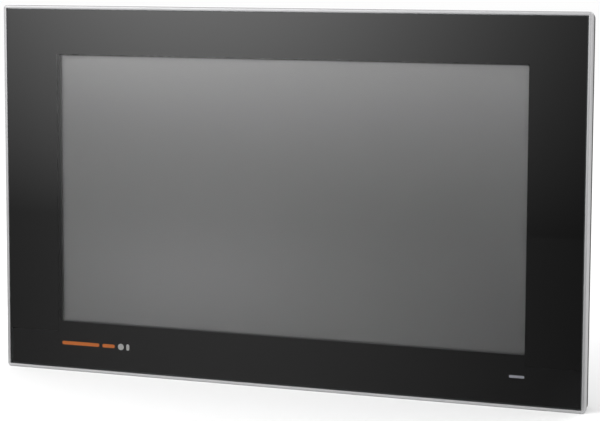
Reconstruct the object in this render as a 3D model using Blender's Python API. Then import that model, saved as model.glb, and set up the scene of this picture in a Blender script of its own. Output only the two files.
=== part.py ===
"""Panel-mounted HMI touch panel with a widescreen display, built as an assembly of named pieces.

Frame: +X is the operator's right, +Y points into the cabinet, +Z is up. The origin is the centre of
the cabinet cut-out, in the plane of the cabinet's front face. All sizes are in millimetres, and MM
turns them into Blender's metres where the meshes are made.
"""

import math

import bmesh
import bpy
from mathutils import Vector

MM = 0.001
SEAT = 0.2                      # gap between two pieces that rest on each other
LAMINATE = 0.05                 # gap between two laminated layers

# Driving dimensions of the front
BEZEL_W, BEZEL_H = 431.0, 266.2
BEZEL_CORNER = 2.5
BEZEL_FRONT, BEZEL_REAR = -11.0, -2.5
BEZEL_CHAMFER = 0.6
RIM = 2.25                      # width of the metal seen round the glass
GLASS_GAP = 0.4                 # shadow gap between the glass and the rim
GLASS_CORNER = 1.2
GLASS_FRONT, GLASS_REAR = -10.85, -7.95
LEDGE_FRONT = -7.0
LEDGE_W, LEDGE_H, LEDGE_CORNER = 399.0, 234.0, 4.0
WINDOW_W, WINDOW_H = 345.6, 194.4
WINDOW_X, WINDOW_Z = 0.8, 0.2   # centre of the display window
FLANGE_OVERLAP = 5.5            # how far the bezel covers the cabinet beyond the cut-out
GASKET_INSET, GASKET_WIDTH = 0.25, 4.2
GASKET_CORNER = 2.2

# Status light in the bottom border, its right end in line with the display window
LED_W, LED_H = 10.5, 1.8
LED_X = WINDOW_X + WINDOW_W / 2 - LED_W / 2
LED_Z = WINDOW_Z - WINDOW_H / 2 - 15.0

# Driving dimensions of the rear
SHEET = 1.5
TRAY_W, TRAY_H, TRAY_CORNER = 416.0, 251.0, 5.0
TRAY_REAR = 17.0
BOX_W, BOX_LOW, BOX_HIGH, BOX_CORNER = 320.0, -70.0, 108.0, 4.0
BOX_REAR = 38.0
BOX_H, BOX_Z = BOX_HIGH - BOX_LOW, (BOX_HIGH + BOX_LOW) / 2
LIP = 8.0                       # inward lip of the electronics box that carries the rear cover
BOARD_FRONT, BOARD_REAR = 17.2, 18.8
PORT_BASE = BOARD_REAR + SEAT   # front face of everything soldered to the main board
PORT_MOUTH = BOX_LOW - 1.0      # ports stand 1 mm proud of the connector wall

# Service door in the rear cover
DOOR_X, DOOR_LOW, DOOR_W, DOOR_H = 92.0, -52.0, 58.0, 36.0
HINGE_R, PIN_R = 1.5, 0.7
DOOR_AXIS_Y = BOX_REAR + SEAT + SHEET / 2
DOOR_AXIS_Z = DOOR_LOW + HINGE_R

# Mounting clamps, in a row on the top wall and a row on the bottom wall
CLAMP_X = (-150.0, 0.0, 150.0)
CLAMP_SCREW_OUT = 3.9           # screw axis above the tray's wall
CLAMP_SCREW_R = 1.45
CLAMP_LUG = (22.5, 24.0)        # front and rear face of the threaded lug
FOOT_FRONT, FOOT_REAR, FOOT_R = 7.5, 11.5, 2.2
RUNNING = 0.1                   # radial clearance of a turning or sliding fit

CORNER_STEPS = 3                # straight pieces in each rounded corner


# --- scene and materials -------------------------------------------------------------------------

def clear_scene():
    for obj in list(bpy.data.objects):
        bpy.data.objects.remove(obj)


def material(name, colour, roughness, metallic=0.0):
    mat = bpy.data.materials.get(name)
    if mat:
        return mat
    mat = bpy.data.materials.new(name)
    mat.use_nodes = True
    shader = mat.node_tree.nodes["Principled BSDF"]
    shader.inputs["Base Color"].default_value = (*colour, 1.0)
    shader.inputs["Roughness"].default_value = roughness
    shader.inputs["Metallic"].default_value = metallic
    mat.diffuse_color = (*colour, 1.0)
    return mat


def aluminium():
    return material("brushed_aluminium", (0.62, 0.62, 0.62), 0.35, 1.0)


def cover_glass_clear():
    return material("cover_glass", (0.10, 0.11, 0.11), 0.03)


def black_ink():
    return material("black_ink", (0.010, 0.010, 0.011), 0.30)


def rubber():
    return material("black_rubber", (0.03, 0.03, 0.03), 0.80)


def foam_tape():
    return material("foam_tape", (0.02, 0.02, 0.02), 0.90)


def sheet_steel():
    return material("zinc_plated_steel", (0.55, 0.56, 0.57), 0.40, 1.0)


def coated_steel():
    return material("coated_housing", (0.16, 0.17, 0.18), 0.55)


def display_glass():
    return material("display_polariser", (0.12, 0.12, 0.12), 0.35)


def circuit_board():
    return material("green_circuit_board", (0.02, 0.16, 0.07), 0.45)


def black_plastic():
    return material("black_plastic", (0.03, 0.03, 0.032), 0.50)


def connector_green():
    return material("terminal_green", (0.05, 0.30, 0.13), 0.45)


def white_diffuser():
    return material("white_diffuser", (0.55, 0.55, 0.62), 0.35)


def screw_steel():
    return material("screw_steel", (0.50, 0.50, 0.50), 0.30, 1.0)


def flex_film():
    return material("amber_flex", (0.55, 0.28, 0.05), 0.35)


# --- shapes --------------------------------------------------------------------------------------

def rounded_rect(width, height, radius, centre=(0.0, 0.0), steps=CORNER_STEPS):
    """Points of a rectangle with round corners, counter-clockwise from its right side."""
    points = []
    for corner, (sx, sz) in enumerate(((1, 1), (-1, 1), (-1, -1), (1, -1))):
        cx = centre[0] + sx * (width / 2 - radius)
        cz = centre[1] + sz * (height / 2 - radius)
        for step in range(steps + 1):
            angle = math.radians(90 * (corner + step / steps))
            points.append((cx + radius * math.cos(angle), cz + radius * math.sin(angle)))
    return points


def add_prism(bm, outline, low, high, axis="Y"):
    """A solid with this outline, extruded along an axis. The outline is in the other two axes."""
    def place(point, depth):
        spots = {"X": (depth, point[0], point[1]),
                 "Y": (point[0], depth, point[1]),
                 "Z": (point[0], point[1], depth)}
        return Vector(spots[axis]) * MM

    near = [bm.verts.new(place(p, low)) for p in outline]
    far = [bm.verts.new(place(p, high)) for p in outline]
    count = len(outline)
    faces = [bm.faces.new(near), bm.faces.new(far)]
    for i in range(count):
        j = (i + 1) % count
        faces.append(bm.faces.new((near[i], near[j], far[j], far[i])))
    bmesh.ops.recalc_face_normals(bm, faces=faces)


def add_box(bm, x, y, z):
    """A box between two values on each axis."""
    add_prism(bm, [(x[0], z[0]), (x[1], z[0]), (x[1], z[1]), (x[0], z[1])], y[0], y[1])


def add_ring(bm, sections):
    """A closed frame: each section is (width, height, corner, y, centre), joined to the next."""
    loops = []
    for width, height, radius, y, centre in sections:
        outline = rounded_rect(width, height, radius, centre)
        loops.append([bm.verts.new(Vector((x, y, z)) * MM) for x, z in outline])
    faces = []
    for first, second in zip(loops, loops[1:] + loops[:1]):
        count = len(first)
        for i in range(count):
            j = (i + 1) % count
            faces.append(bm.faces.new((first[i], first[j], second[j], second[i])))
    bmesh.ops.recalc_face_normals(bm, faces=faces)


def add_turned(bm, profile, centre, axis="Y", sides=16):
    """A turned solid. The profile is (radius, distance along the axis), from one end to the other,
    and a radius of 0 at both ends closes it."""
    spin = {"X": lambda r, a, d: (d, r * math.cos(a), r * math.sin(a)),
            "Y": lambda r, a, d: (r * math.cos(a), d, r * math.sin(a)),
            "Z": lambda r, a, d: (r * math.cos(a), r * math.sin(a), d)}[axis]
    rings = []
    for radius, distance in profile:
        angles = [0.0] if radius == 0 else [math.tau * i / sides for i in range(sides)]
        rings.append([bm.verts.new((Vector(centre) + Vector(spin(radius, a, distance))) * MM)
                      for a in angles])
    faces = []
    for first, second in zip(rings, rings[1:]):
        for i in range(sides):
            j = (i + 1) % sides
            corners = [first[i % len(first)], first[j % len(first)],
                       second[j % len(second)], second[i % len(second)]]
            faces.append(bm.faces.new(list(dict.fromkeys(corners))))
    bmesh.ops.recalc_face_normals(bm, faces=faces)


def rod(radius, low, high):
    """Profile of a plain round bar."""
    return [(0, low), (radius, low), (radius, high), (0, high)]


def finish(name, bm, mat, origin=(0.0, 0.0, 0.0), sharp=35.0):
    """Turns the working mesh into a named object whose origin is at the given point."""
    bmesh.ops.translate(bm, verts=bm.verts, vec=-Vector(origin) * MM)
    mesh = bpy.data.meshes.new(name)
    bm.to_mesh(mesh)
    bm.free()
    mesh.materials.append(mat)
    mesh.shade_smooth()
    mesh.set_sharp_from_angle(angle=math.radians(sharp))
    obj = bpy.data.objects.new(name, mesh)
    obj.location = Vector(origin) * MM
    bpy.context.scene.collection.objects.link(obj)
    return obj


def cutter(name, bm):
    """A helper object that only cuts or joins, and isn't a piece of the panel."""
    obj = finish(name, bm, black_plastic())
    obj.hide_render = True
    obj.display_type = "WIRE"
    return obj


def boolean(obj, helper, operation="DIFFERENCE"):
    modifier = obj.modifiers.new(helper.name, "BOOLEAN")
    modifier.operation = operation
    modifier.solver = "EXACT"
    modifier.object = helper
    helper.parent = obj
    helper.matrix_parent_inverse = obj.matrix_basis.inverted()


# --- front ---------------------------------------------------------------------------------------

POCKET_W, POCKET_H = BEZEL_W - 2 * RIM, BEZEL_H - 2 * RIM
GLASS_W, GLASS_H = POCKET_W - 2 * GLASS_GAP, POCKET_H - 2 * GLASS_GAP
HOUSING_SCREWS = [(sx * 196.0, sz * 119.0) for sx in (-1, 1) for sz in (-1, 1)]
SCREW_SHANK_R = 1.5


def bezel_frame():
    """Machined aluminium frame: a thin rim round the glass and a ledge behind it."""
    middle = (0.0, 0.0)
    face = 2 * BEZEL_CHAMFER
    bm = bmesh.new()
    add_ring(bm, [
        (BEZEL_W, BEZEL_H, BEZEL_CORNER, BEZEL_REAR, middle),
        (BEZEL_W, BEZEL_H, BEZEL_CORNER, BEZEL_FRONT + BEZEL_CHAMFER, middle),
        (BEZEL_W - face, BEZEL_H - face, BEZEL_CORNER - BEZEL_CHAMFER, BEZEL_FRONT, middle),
        (POCKET_W, POCKET_H, GLASS_CORNER, BEZEL_FRONT, middle),
        (POCKET_W, POCKET_H, GLASS_CORNER, LEDGE_FRONT, middle),
        (LEDGE_W, LEDGE_H, LEDGE_CORNER, LEDGE_FRONT, middle),
        (LEDGE_W, LEDGE_H, LEDGE_CORNER, BEZEL_REAR, middle),
    ])
    frame = finish("bezel_frame", bm, aluminium())
    holes = bmesh.new()
    for x, z in HOUSING_SCREWS:
        add_turned(holes, rod(SCREW_SHANK_R + RUNNING, BEZEL_REAR - 3.0, BEZEL_REAR + 2.0), (x, 0, z),
                   sides=10)
    boolean(frame, cutter("cut_bezel_screw_holes", holes))


def cover_glass():
    """Toughened front glass over the whole face."""
    bm = bmesh.new()
    corner = GLASS_CORNER - GLASS_GAP / 2
    add_prism(bm, rounded_rect(GLASS_W, GLASS_H, corner), GLASS_FRONT, GLASS_REAR)
    finish("cover_glass", bm, cover_glass_clear())


def black_mask():
    """Opaque border print on the back of the glass, with the display window and the light slot."""
    rear = GLASS_REAR + LAMINATE + 0.2
    bm = bmesh.new()
    window = (WINDOW_X, WINDOW_Z)
    add_ring(bm, [
        (GLASS_W - 0.2, GLASS_H - 0.2, 1.0, GLASS_REAR + LAMINATE, (0, 0)),
        (GLASS_W - 0.2, GLASS_H - 0.2, 1.0, rear, (0, 0)),
        (WINDOW_W, WINDOW_H, 0.8, rear, window),
        (WINDOW_W, WINDOW_H, 0.8, GLASS_REAR + LAMINATE, window),
    ])
    mask = finish("black_mask", bm, black_ink())
    slot = bmesh.new()
    add_prism(slot, rounded_rect(LED_W, LED_H, 0.5, (LED_X, LED_Z)), GLASS_REAR - 1, rear + 1)
    boolean(mask, cutter("cut_light_slot", slot))


def touch_sensor():
    """Capacitive sensor glass laminated behind the display window."""
    front = GLASS_REAR + 0.3
    bm = bmesh.new()
    add_prism(bm, rounded_rect(WINDOW_W + 12, WINDOW_H + 9, 1.0, (WINDOW_X, WINDOW_Z)),
              front, front + 1.1)
    finish("touch_sensor", bm, cover_glass_clear())


def glass_adhesive():
    """Foam tape that bonds the glass to the ledge and keeps water out."""
    front, rear = GLASS_REAR + 0.3, LEDGE_FRONT - LAMINATE
    bm = bmesh.new()
    outer = (GLASS_W - 4, GLASS_H - 4, 3.0)
    inner = (LEDGE_W + 4, LEDGE_H + 4, 3.0)
    add_ring(bm, [(*outer, front, (0, 0)), (*outer, rear, (0, 0)),
                  (*inner, rear, (0, 0)), (*inner, front, (0, 0))])
    finish("glass_adhesive", bm, foam_tape())


def panel_gasket():
    """Rubber seal between the bezel and the cabinet; its rear face is the origin plane."""
    front = BEZEL_REAR + LAMINATE
    outer = (BEZEL_W - 2 * GASKET_INSET, BEZEL_H - 2 * GASKET_INSET, GASKET_CORNER)
    inset = 2 * (GASKET_INSET + GASKET_WIDTH)
    inner = (BEZEL_W - inset, BEZEL_H - inset, GASKET_CORNER)
    bm = bmesh.new()
    add_ring(bm, [(*outer, front, (0, 0)), (*outer, 0.0, (0, 0)),
                  (*inner, 0.0, (0, 0)), (*inner, front, (0, 0))])
    finish("panel_gasket", bm, rubber())


def status_light():
    """Diffusing light pipe behind the slot in the print, with its own small board."""
    front = GLASS_REAR + 0.3
    bm = bmesh.new()
    add_prism(bm, rounded_rect(LED_W + 1.5, LED_H + 1.5, 0.5, (LED_X, LED_Z)), front, front + 4.0)
    finish("status_light_pipe", bm, white_diffuser())
    bm = bmesh.new()
    back = front + 4.0 + SEAT
    add_box(bm, (LED_X - 12, LED_X + 12), (back, back + 1.0), (LED_Z - 3.2, LED_Z + 2.6))
    finish("status_light_board", bm, circuit_board())


# --- display module ------------------------------------------------------------------------------

LCD_W, LCD_H = 363.8, 215.9
LCD_FRONT, LCD_REAR = -5.6, 3.9
LCD_SKIN = 0.6


def display_module():
    """Bought-in widescreen display: metal front frame, glass cell and backlight tray."""
    centre = (WINDOW_X, WINDOW_Z)
    opening = (WINDOW_W + 1.6, WINDOW_H + 1.6, 0.6)
    inner = (LCD_W - 2 * LCD_SKIN, LCD_H - 2 * LCD_SKIN, 1.0)
    back_of_face = LCD_FRONT + LCD_SKIN
    skirt_end = LCD_REAR - 1.0
    bm = bmesh.new()
    add_ring(bm, [
        (LCD_W, LCD_H, 1.5, LCD_FRONT, centre),
        (LCD_W, LCD_H, 1.5, skirt_end, centre),
        (*inner, skirt_end, centre),
        (*inner, back_of_face, centre),
        (*opening, back_of_face, centre),
        (*opening, LCD_FRONT, centre),
    ])
    finish("display_front_frame", bm, sheet_steel())
    cell_front = back_of_face + 0.1
    bm = bmesh.new()
    add_prism(bm, rounded_rect(WINDOW_W + 9, WINDOW_H + 8, 0.6, centre), cell_front, cell_front + 1.4)
    finish("display_cell", bm, display_glass())
    bm = bmesh.new()
    add_prism(bm, rounded_rect(inner[0] - 0.6, inner[1] - 0.6, 1.0, centre), cell_front + 1.6, LCD_REAR)
    finish("display_backlight", bm, sheet_steel())


def display_brackets():
    """Two folded brackets that hang the display module on the bezel's ledge."""
    thick = 1.2
    lip = LCD_REAR + SEAT
    foot = BEZEL_REAR + SEAT
    edge = LCD_W / 2 + WINDOW_X + 1.2
    outline = [(166.0, lip), (edge, lip), (edge, foot), (205.8, foot), (205.8, foot + thick),
               (edge + thick, foot + thick), (edge + thick, lip + thick), (166.0, lip + thick)]
    for side, name in ((-1, "display_bracket_left"), (1, "display_bracket_right")):
        bm = bmesh.new()
        add_prism(bm, [(side * x, y) for x, y in outline], -90.0, 90.0, axis="Z")
        finish(name, bm, sheet_steel())


def touch_electronics():
    """Touch controller beside the display, with the flexible tail from the sensor."""
    bm = bmesh.new()
    low = -LEDGE_H / 2 + 0.6
    flex_x = (-40.0, -16.0)
    sensor_rear = GLASS_REAR + 0.3 + 1.1
    edge = WINDOW_Z - (WINDOW_H + 9) / 2
    flex_y = sensor_rear + 0.1
    controller_y = LCD_REAR + 5.0
    below = low + 1.0
    film = 0.3
    outline = [(edge + 3.0, flex_y), (edge + 3.0, flex_y + film), (below + film, flex_y + film),
               (below + film, controller_y), (below + 12.0, controller_y),
               (below + 12.0, controller_y + film), (below, controller_y + film), (below, flex_y)]
    add_prism(bm, [(y, z) for z, y in outline], *flex_x, axis="X")
    finish("touch_flex_tail", bm, flex_film())
    bm = bmesh.new()
    add_box(bm, (-58.0, 2.0), (controller_y + film + SEAT, controller_y + film + SEAT + 1.6),
            (below + 1.0, below + 26.0))
    finish("touch_controller_board", bm, circuit_board())


# --- electronics ---------------------------------------------------------------------------------

def carrier_plate():
    """Sheet behind the display with four pressed-in standoffs for the main board."""
    front = LCD_REAR + 2.0
    rear = front + 1.2
    bm = bmesh.new()
    add_prism(bm, rounded_rect(372.0, 196.0, 3.0, (0, 14.0)), front, rear)
    plate = finish("carrier_plate", bm, sheet_steel())
    posts = bmesh.new()
    for x in (-140.0, 140.0):
        for z in (-60.0, 90.0):
            add_turned(posts, rod(3.0, front + 0.4, BOARD_FRONT - SEAT), (x, 0, z), sides=6)
    boolean(plate, cutter("join_standoffs", posts), "UNION")


def main_board():
    bm = bmesh.new()
    add_box(bm, (-150.0, 150.0), (BOARD_FRONT, BOARD_REAR), (BOX_LOW + 2.0, 98.0))
    finish("main_board", bm, circuit_board())


def heat_spreader():
    """Aluminium block with fins that carries the processor's heat to the vents."""
    base_top = PORT_BASE + 5.0
    bm = bmesh.new()
    add_box(bm, (-60.0, 20.0), (PORT_BASE, base_top), (20.0, 92.0))
    block = finish("heat_spreader", bm, aluminium())
    fins = bmesh.new()
    fin_count, pitch, thick = 11, 7.6, 1.8
    for i in range(fin_count):
        x = -60.0 + 1.1 + i * pitch
        add_box(fins, (x, x + thick), (base_top - 1.0, BOX_REAR - SHEET - 1.5), (21.0, 91.0))
    boolean(block, cutter("join_fins", fins), "UNION")


def display_cable():
    """Flat cable that leaves the display at the side and folds round to the main board."""
    film = 0.8
    turn = 156.0
    start, end = LCD_REAR + 5.5, BOARD_REAR + 1.5
    outline = [(118.0, start), (turn, start), (turn, end + film), (128.0, end + film),
               (128.0, end), (turn - film, end), (turn - film, start + film), (118.0, start + film)]
    bm = bmesh.new()
    add_prism(bm, [(-x, y) for x, y in outline], 30.0, 58.0, axis="Z")
    finish("display_cable", bm, black_plastic())


def battery():
    """Coin cell in its cup on the main board, under the service door."""
    centre = (DOOR_X - 12.0, 0, DOOR_LOW + 19.0)
    cell_front = PORT_BASE + 7.0
    bm = bmesh.new()
    add_turned(bm, [(0, PORT_BASE), (12.2, PORT_BASE), (12.2, cell_front + 2.6), (10.4, cell_front + 2.6),
                    (10.4, cell_front - SEAT), (0, cell_front - SEAT)], centre, sides=24)
    finish("battery_cup", bm, black_plastic())
    bm = bmesh.new()
    add_turned(bm, [(0, cell_front), (9.6, cell_front), (10.0, cell_front + 0.4),
                    (10.0, cell_front + 3.2), (0, cell_front + 3.2)], centre, sides=24)
    finish("coin_battery", bm, screw_steel())


# --- ports in the connector wall -----------------------------------------------------------------

ETHERNET_X = (-40.0, -18.0)
ETHERNET_W, ETHERNET_D, ETHERNET_LONG = 16.0, 13.4, 21.0
USB_X, USB_W, USB_D, USB_LONG = 10.0, 14.6, 15.8, 17.5
SERIAL_X, SERIAL_Y = -84.0, PORT_BASE + 7.4
POWER_X, POWER_W, POWER_D = -130.0, 18.0, 11.0
SD_X, SD_W, SD_D = 46.0, 28.0, 3.6
CARD_W, CARD_THICK = 24.0, 2.1
PORT_ROOM = 0.5                 # gap between a port and its cut-out


def ethernet_ports():
    """Two shielded jacks, open downwards, each with a notch for the plug's latch."""
    for number, x in enumerate(ETHERNET_X, start=1):
        bm = bmesh.new()
        add_box(bm, (x - ETHERNET_W / 2, x + ETHERNET_W / 2),
                (PORT_BASE, PORT_BASE + ETHERNET_D), (PORT_MOUTH, PORT_MOUTH + ETHERNET_LONG))
        jack = finish(f"ethernet_port_{number}", bm, sheet_steel())
        hole = bmesh.new()
        y = PORT_BASE + 2.4
        latch = PORT_BASE + ETHERNET_D - 1.6
        outline = [(x - 6, y), (x + 6, y), (x + 6, y + 7.0), (x + 3, y + 7.0), (x + 3, latch),
                   (x - 3, latch), (x - 3, y + 7.0), (x - 6, y + 7.0)]
        add_prism(hole, outline, PORT_MOUTH - 1, PORT_MOUTH + 14.0, axis="Z")
        boolean(jack, cutter(f"cut_ethernet_{number}", hole))


def usb_ports():
    """Two stacked ports in one metal shell."""
    bm = bmesh.new()
    add_box(bm, (USB_X - USB_W / 2, USB_X + USB_W / 2), (PORT_BASE, PORT_BASE + USB_D),
            (PORT_MOUTH, PORT_MOUTH + USB_LONG))
    shell = finish("usb_ports", bm, sheet_steel())
    holes = bmesh.new()
    for low in (1.3, 8.9):
        y = PORT_BASE + low
        add_box(holes, (USB_X - 6.3, USB_X + 6.3), (y, y + 5.6), (PORT_MOUTH - 1, PORT_MOUTH + 12.0))
    boolean(shell, cutter("cut_usb", holes))
    tongues = bmesh.new()
    for low in (1.3, 8.9):
        y = PORT_BASE + low + 0.5
        add_box(tongues, (USB_X - 5.6, USB_X + 5.6), (y, y + 0.6),
                (PORT_MOUTH + 1.0, PORT_MOUTH + 13.0))
    boolean(shell, cutter("join_usb_tongues", tongues), "UNION")


def serial_port():
    """Nine-way socket with a D-shaped shell and two threaded hex posts below the wall."""
    below = PORT_MOUTH - 5.0
    bm = bmesh.new()
    add_box(bm, (SERIAL_X - 15.4, SERIAL_X + 15.4), (SERIAL_Y - 6.2, SERIAL_Y + 6.2),
            (BOX_LOW + SHEET + SEAT, BOX_LOW + 12.0))
    body = finish("serial_port", bm, sheet_steel())
    shell = bmesh.new()
    half_wide, half_narrow, half_deep = 8.6, 7.4, 4.0
    outline = [(SERIAL_X - half_wide, SERIAL_Y + half_deep), (SERIAL_X - half_narrow, SERIAL_Y - half_deep),
               (SERIAL_X + half_narrow, SERIAL_Y - half_deep), (SERIAL_X + half_wide, SERIAL_Y + half_deep)]
    add_prism(shell, outline, below, BOX_LOW + 6.0, axis="Z")
    boolean(body, cutter("join_serial_shell", shell), "UNION")
    posts = bmesh.new()
    for x in (SERIAL_X - 12.5, SERIAL_X + 12.5):
        add_turned(posts, rod(2.6, below + 0.5, BOX_LOW + 6.0), (x, SERIAL_Y, 0), axis="Z", sides=6)
    boolean(body, cutter("join_serial_posts", posts), "UNION")


PLUG_TOP = BOX_LOW + 8.0        # how far the power plug reaches into its header
PLUG_BOTTOM = BOX_LOW - 14.0


def power_connector():
    """Three-way supply header on the board, and the plug-on screw terminal that pulls off it."""
    y0, y1 = PORT_BASE + 0.6, PORT_BASE + 0.6 + POWER_D
    bm = bmesh.new()
    add_box(bm, (POWER_X - POWER_W / 2, POWER_X + POWER_W / 2), (y0, y1), (PORT_MOUTH, BOX_LOW + 11.0))
    header = finish("power_header", bm, connector_green())
    hole = bmesh.new()
    wall = 1.0
    add_box(hole, (POWER_X - POWER_W / 2 + wall, POWER_X + POWER_W / 2 - wall),
            (y0 + wall, y1 - wall), (PORT_MOUTH - 1, PLUG_TOP + 0.4))
    boolean(header, cutter("cut_power_header", hole))

    half = POWER_W / 2 - wall - 0.25
    front, rear = y0 + wall + 0.25, y1 - wall - 0.25
    bm = bmesh.new()
    outline = [(front, PLUG_TOP), (rear, PLUG_TOP), (rear, PORT_MOUTH - 0.6), (rear + 4.0, PORT_MOUTH - 2.5),
               (rear + 4.0, PLUG_BOTTOM), (front, PLUG_BOTTOM)]
    add_prism(bm, outline, POWER_X - half, POWER_X + half, axis="X")
    plug = finish("power_plug", bm, connector_green(), origin=(POWER_X, (front + rear) / 2, PORT_MOUTH))
    holes = bmesh.new()
    middle = (front + rear + 4.0) / 2
    for step in (-1, 0, 1):
        x = POWER_X + step * 4.9
        add_turned(holes, rod(1.5, PLUG_BOTTOM - 1, PLUG_BOTTOM + 8.0), (x, middle - 2.2, 0), axis="Z", sides=8)
        add_turned(holes, rod(1.7, rear + 2.6, rear + 6.0), (x, 0, PLUG_BOTTOM + 4.5), axis="Y", sides=8)
    boolean(plug, cutter("cut_wire_and_screw_holes", holes))


def memory_card():
    """Card socket on the board, open downwards, and the card that slides out of it."""
    y0, y1 = PORT_BASE, PORT_BASE + SD_D
    bm = bmesh.new()
    add_box(bm, (SD_X - SD_W / 2, SD_X + SD_W / 2), (y0, y1), (BOX_LOW + SHEET + 0.4, BOX_LOW + 30.0))
    socket = finish("memory_card_socket", bm, sheet_steel())
    hole = bmesh.new()
    card_y0 = (y0 + y1) / 2 - CARD_THICK / 2
    room = 0.25
    add_box(hole, (SD_X - CARD_W / 2 - room, SD_X + CARD_W / 2 + room),
            (card_y0 - room, card_y0 + CARD_THICK + room), (BOX_LOW - 5.0, BOX_LOW + 28.5))
    boolean(socket, cutter("cut_card_socket", hole))
    low, high, notch = BOX_LOW - 4.0, BOX_LOW + 28.0, 3.5
    outline = [(SD_X - CARD_W / 2, low), (SD_X + CARD_W / 2, low), (SD_X + CARD_W / 2, high),
               (SD_X - CARD_W / 2 + notch, high), (SD_X - CARD_W / 2, high - notch)]
    bm = bmesh.new()
    add_prism(bm, outline, card_y0, card_y0 + CARD_THICK)
    finish("memory_card", bm, black_plastic(), origin=(SD_X, card_y0 + CARD_THICK / 2, low))


def earth_stud():
    """Threaded earthing stud with its nut and washer, pressed into the shallow part of the rear."""
    bm = bmesh.new()
    floor = TRAY_REAR + SEAT
    add_turned(bm, [(0, floor), (5.0, floor), (5.0, floor + 1.0), (3.9, floor + 1.0), (3.9, floor + 4.2),
                    (2.0, floor + 4.2), (2.0, floor + 9.6), (1.6, floor + 10.0), (0, floor + 10.0)],
               (-178.0, 0, -92.0), sides=12)
    finish("earth_stud", bm, screw_steel())


# --- rear housing --------------------------------------------------------------------------------

def port_openings(bm):
    """Cut-outs in the connector wall, one for each port."""
    wall = (BOX_LOW - 2.0, BOX_LOW + SHEET + 0.3)
    room = PORT_ROOM
    for x in ETHERNET_X:
        add_box(bm, (x - ETHERNET_W / 2 - room, x + ETHERNET_W / 2 + room),
                (PORT_BASE - room, PORT_BASE + ETHERNET_D + room), wall)
    add_box(bm, (USB_X - USB_W / 2 - room, USB_X + USB_W / 2 + room),
            (PORT_BASE - room, PORT_BASE + USB_D + room), wall)
    add_box(bm, (SERIAL_X - 9.4, SERIAL_X + 9.4), (SERIAL_Y - 4.6, SERIAL_Y + 4.6), wall)
    for x in (SERIAL_X - 12.5, SERIAL_X + 12.5):
        add_turned(bm, rod(2.9, *wall), (x, SERIAL_Y, 0), axis="Z", sides=8)
    add_box(bm, (POWER_X - POWER_W / 2 - room, POWER_X + POWER_W / 2 + room),
            (PORT_BASE + 0.6 - room, PORT_BASE + 0.6 + POWER_D + room), wall)
    add_box(bm, (SD_X - CARD_W / 2 - 1, SD_X + CARD_W / 2 + 1),
            (PORT_BASE - 0.2, PORT_BASE + SD_D + 0.2), wall)


def vent_slots(bm, z, positions):
    """Upright slots through the top or bottom wall of the electronics box."""
    low, high, half = TRAY_REAR + 2.5, BOX_REAR - SHEET - 2.5, 1.5
    middle = (low + high) / 2
    for x in positions:
        outline = rounded_rect(2 * half, high - low, half * 0.98, (x, middle), steps=2)
        add_prism(bm, outline, z - 3.0, z + 3.0, axis="Z")


def clamp_slots(bm):
    """Pairs of slots in the tray's top and bottom walls that the clamps hook into."""
    for side in (-1, 1):
        for x in CLAMP_X:
            for offset in (-5.5, 5.5):
                add_box(bm, (x + offset - 2.2, x + offset + 2.2), (9.6, 12.6),
                        sorted((side * (TRAY_H / 2 - 3.0), side * (TRAY_H / 2 + 2.0))))


def rear_housing():
    """Folded and coated rear shell: a shallow tray with a raised electronics box."""
    front = BEZEL_REAR + SEAT
    centre = (0.0, BOX_Z)
    bm = bmesh.new()
    add_prism(bm, rounded_rect(TRAY_W, TRAY_H, TRAY_CORNER), front, TRAY_REAR)
    shell = finish("rear_housing", bm, coated_steel())

    raised = bmesh.new()
    add_prism(raised, rounded_rect(BOX_W, BOX_H, BOX_CORNER, centre), TRAY_REAR - 5.0, BOX_REAR)
    boolean(shell, cutter("join_raised_box", raised), "UNION")

    hollow = bmesh.new()
    add_prism(hollow, rounded_rect(TRAY_W - 2 * SHEET, TRAY_H - 2 * SHEET, TRAY_CORNER - SHEET),
              front - 2.0, TRAY_REAR - SHEET)
    boolean(shell, cutter("cut_tray_hollow", hollow))

    inside = bmesh.new()
    add_prism(inside, rounded_rect(BOX_W - 2 * SHEET, BOX_H - 2 * SHEET, BOX_CORNER - SHEET, centre),
              TRAY_REAR - 5.0, BOX_REAR - SHEET)
    boolean(shell, cutter("cut_box_hollow", inside))

    mouth = bmesh.new()
    add_prism(mouth, rounded_rect(BOX_W - 2 * LIP, BOX_H - 2 * LIP, 3.0, centre),
              BOX_REAR - 5.0, BOX_REAR + 5.0)
    boolean(shell, cutter("cut_box_mouth", mouth))

    small = bmesh.new()
    port_openings(small)
    vent_slots(small, BOX_HIGH, [-130.0 + 13.0 * i for i in range(21)])
    vent_slots(small, BOX_LOW, [78.0 + 9.0 * i for i in range(8)])
    clamp_slots(small)
    for x, z in HOUSING_SCREWS:
        add_turned(small, rod(1.8, TRAY_REAR - 5.0, TRAY_REAR + 3.0), (x, 0, z), sides=10)
    for x, z in COVER_SCREWS:
        add_turned(small, rod(1.6, BOX_REAR - 5.0, BOX_REAR + 3.0), (x, 0, z), sides=8)
    boolean(shell, cutter("cut_openings", small))


COVER_SCREWS = [(sx * (BOX_W / 2 - 5.0), z) for sx in (-1, 1) for z in (BOX_LOW + 5.0, BOX_HIGH - 5.0)]
COVER_FRONT, COVER_REAR = BOX_REAR + SEAT, BOX_REAR + SEAT + SHEET


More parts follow.
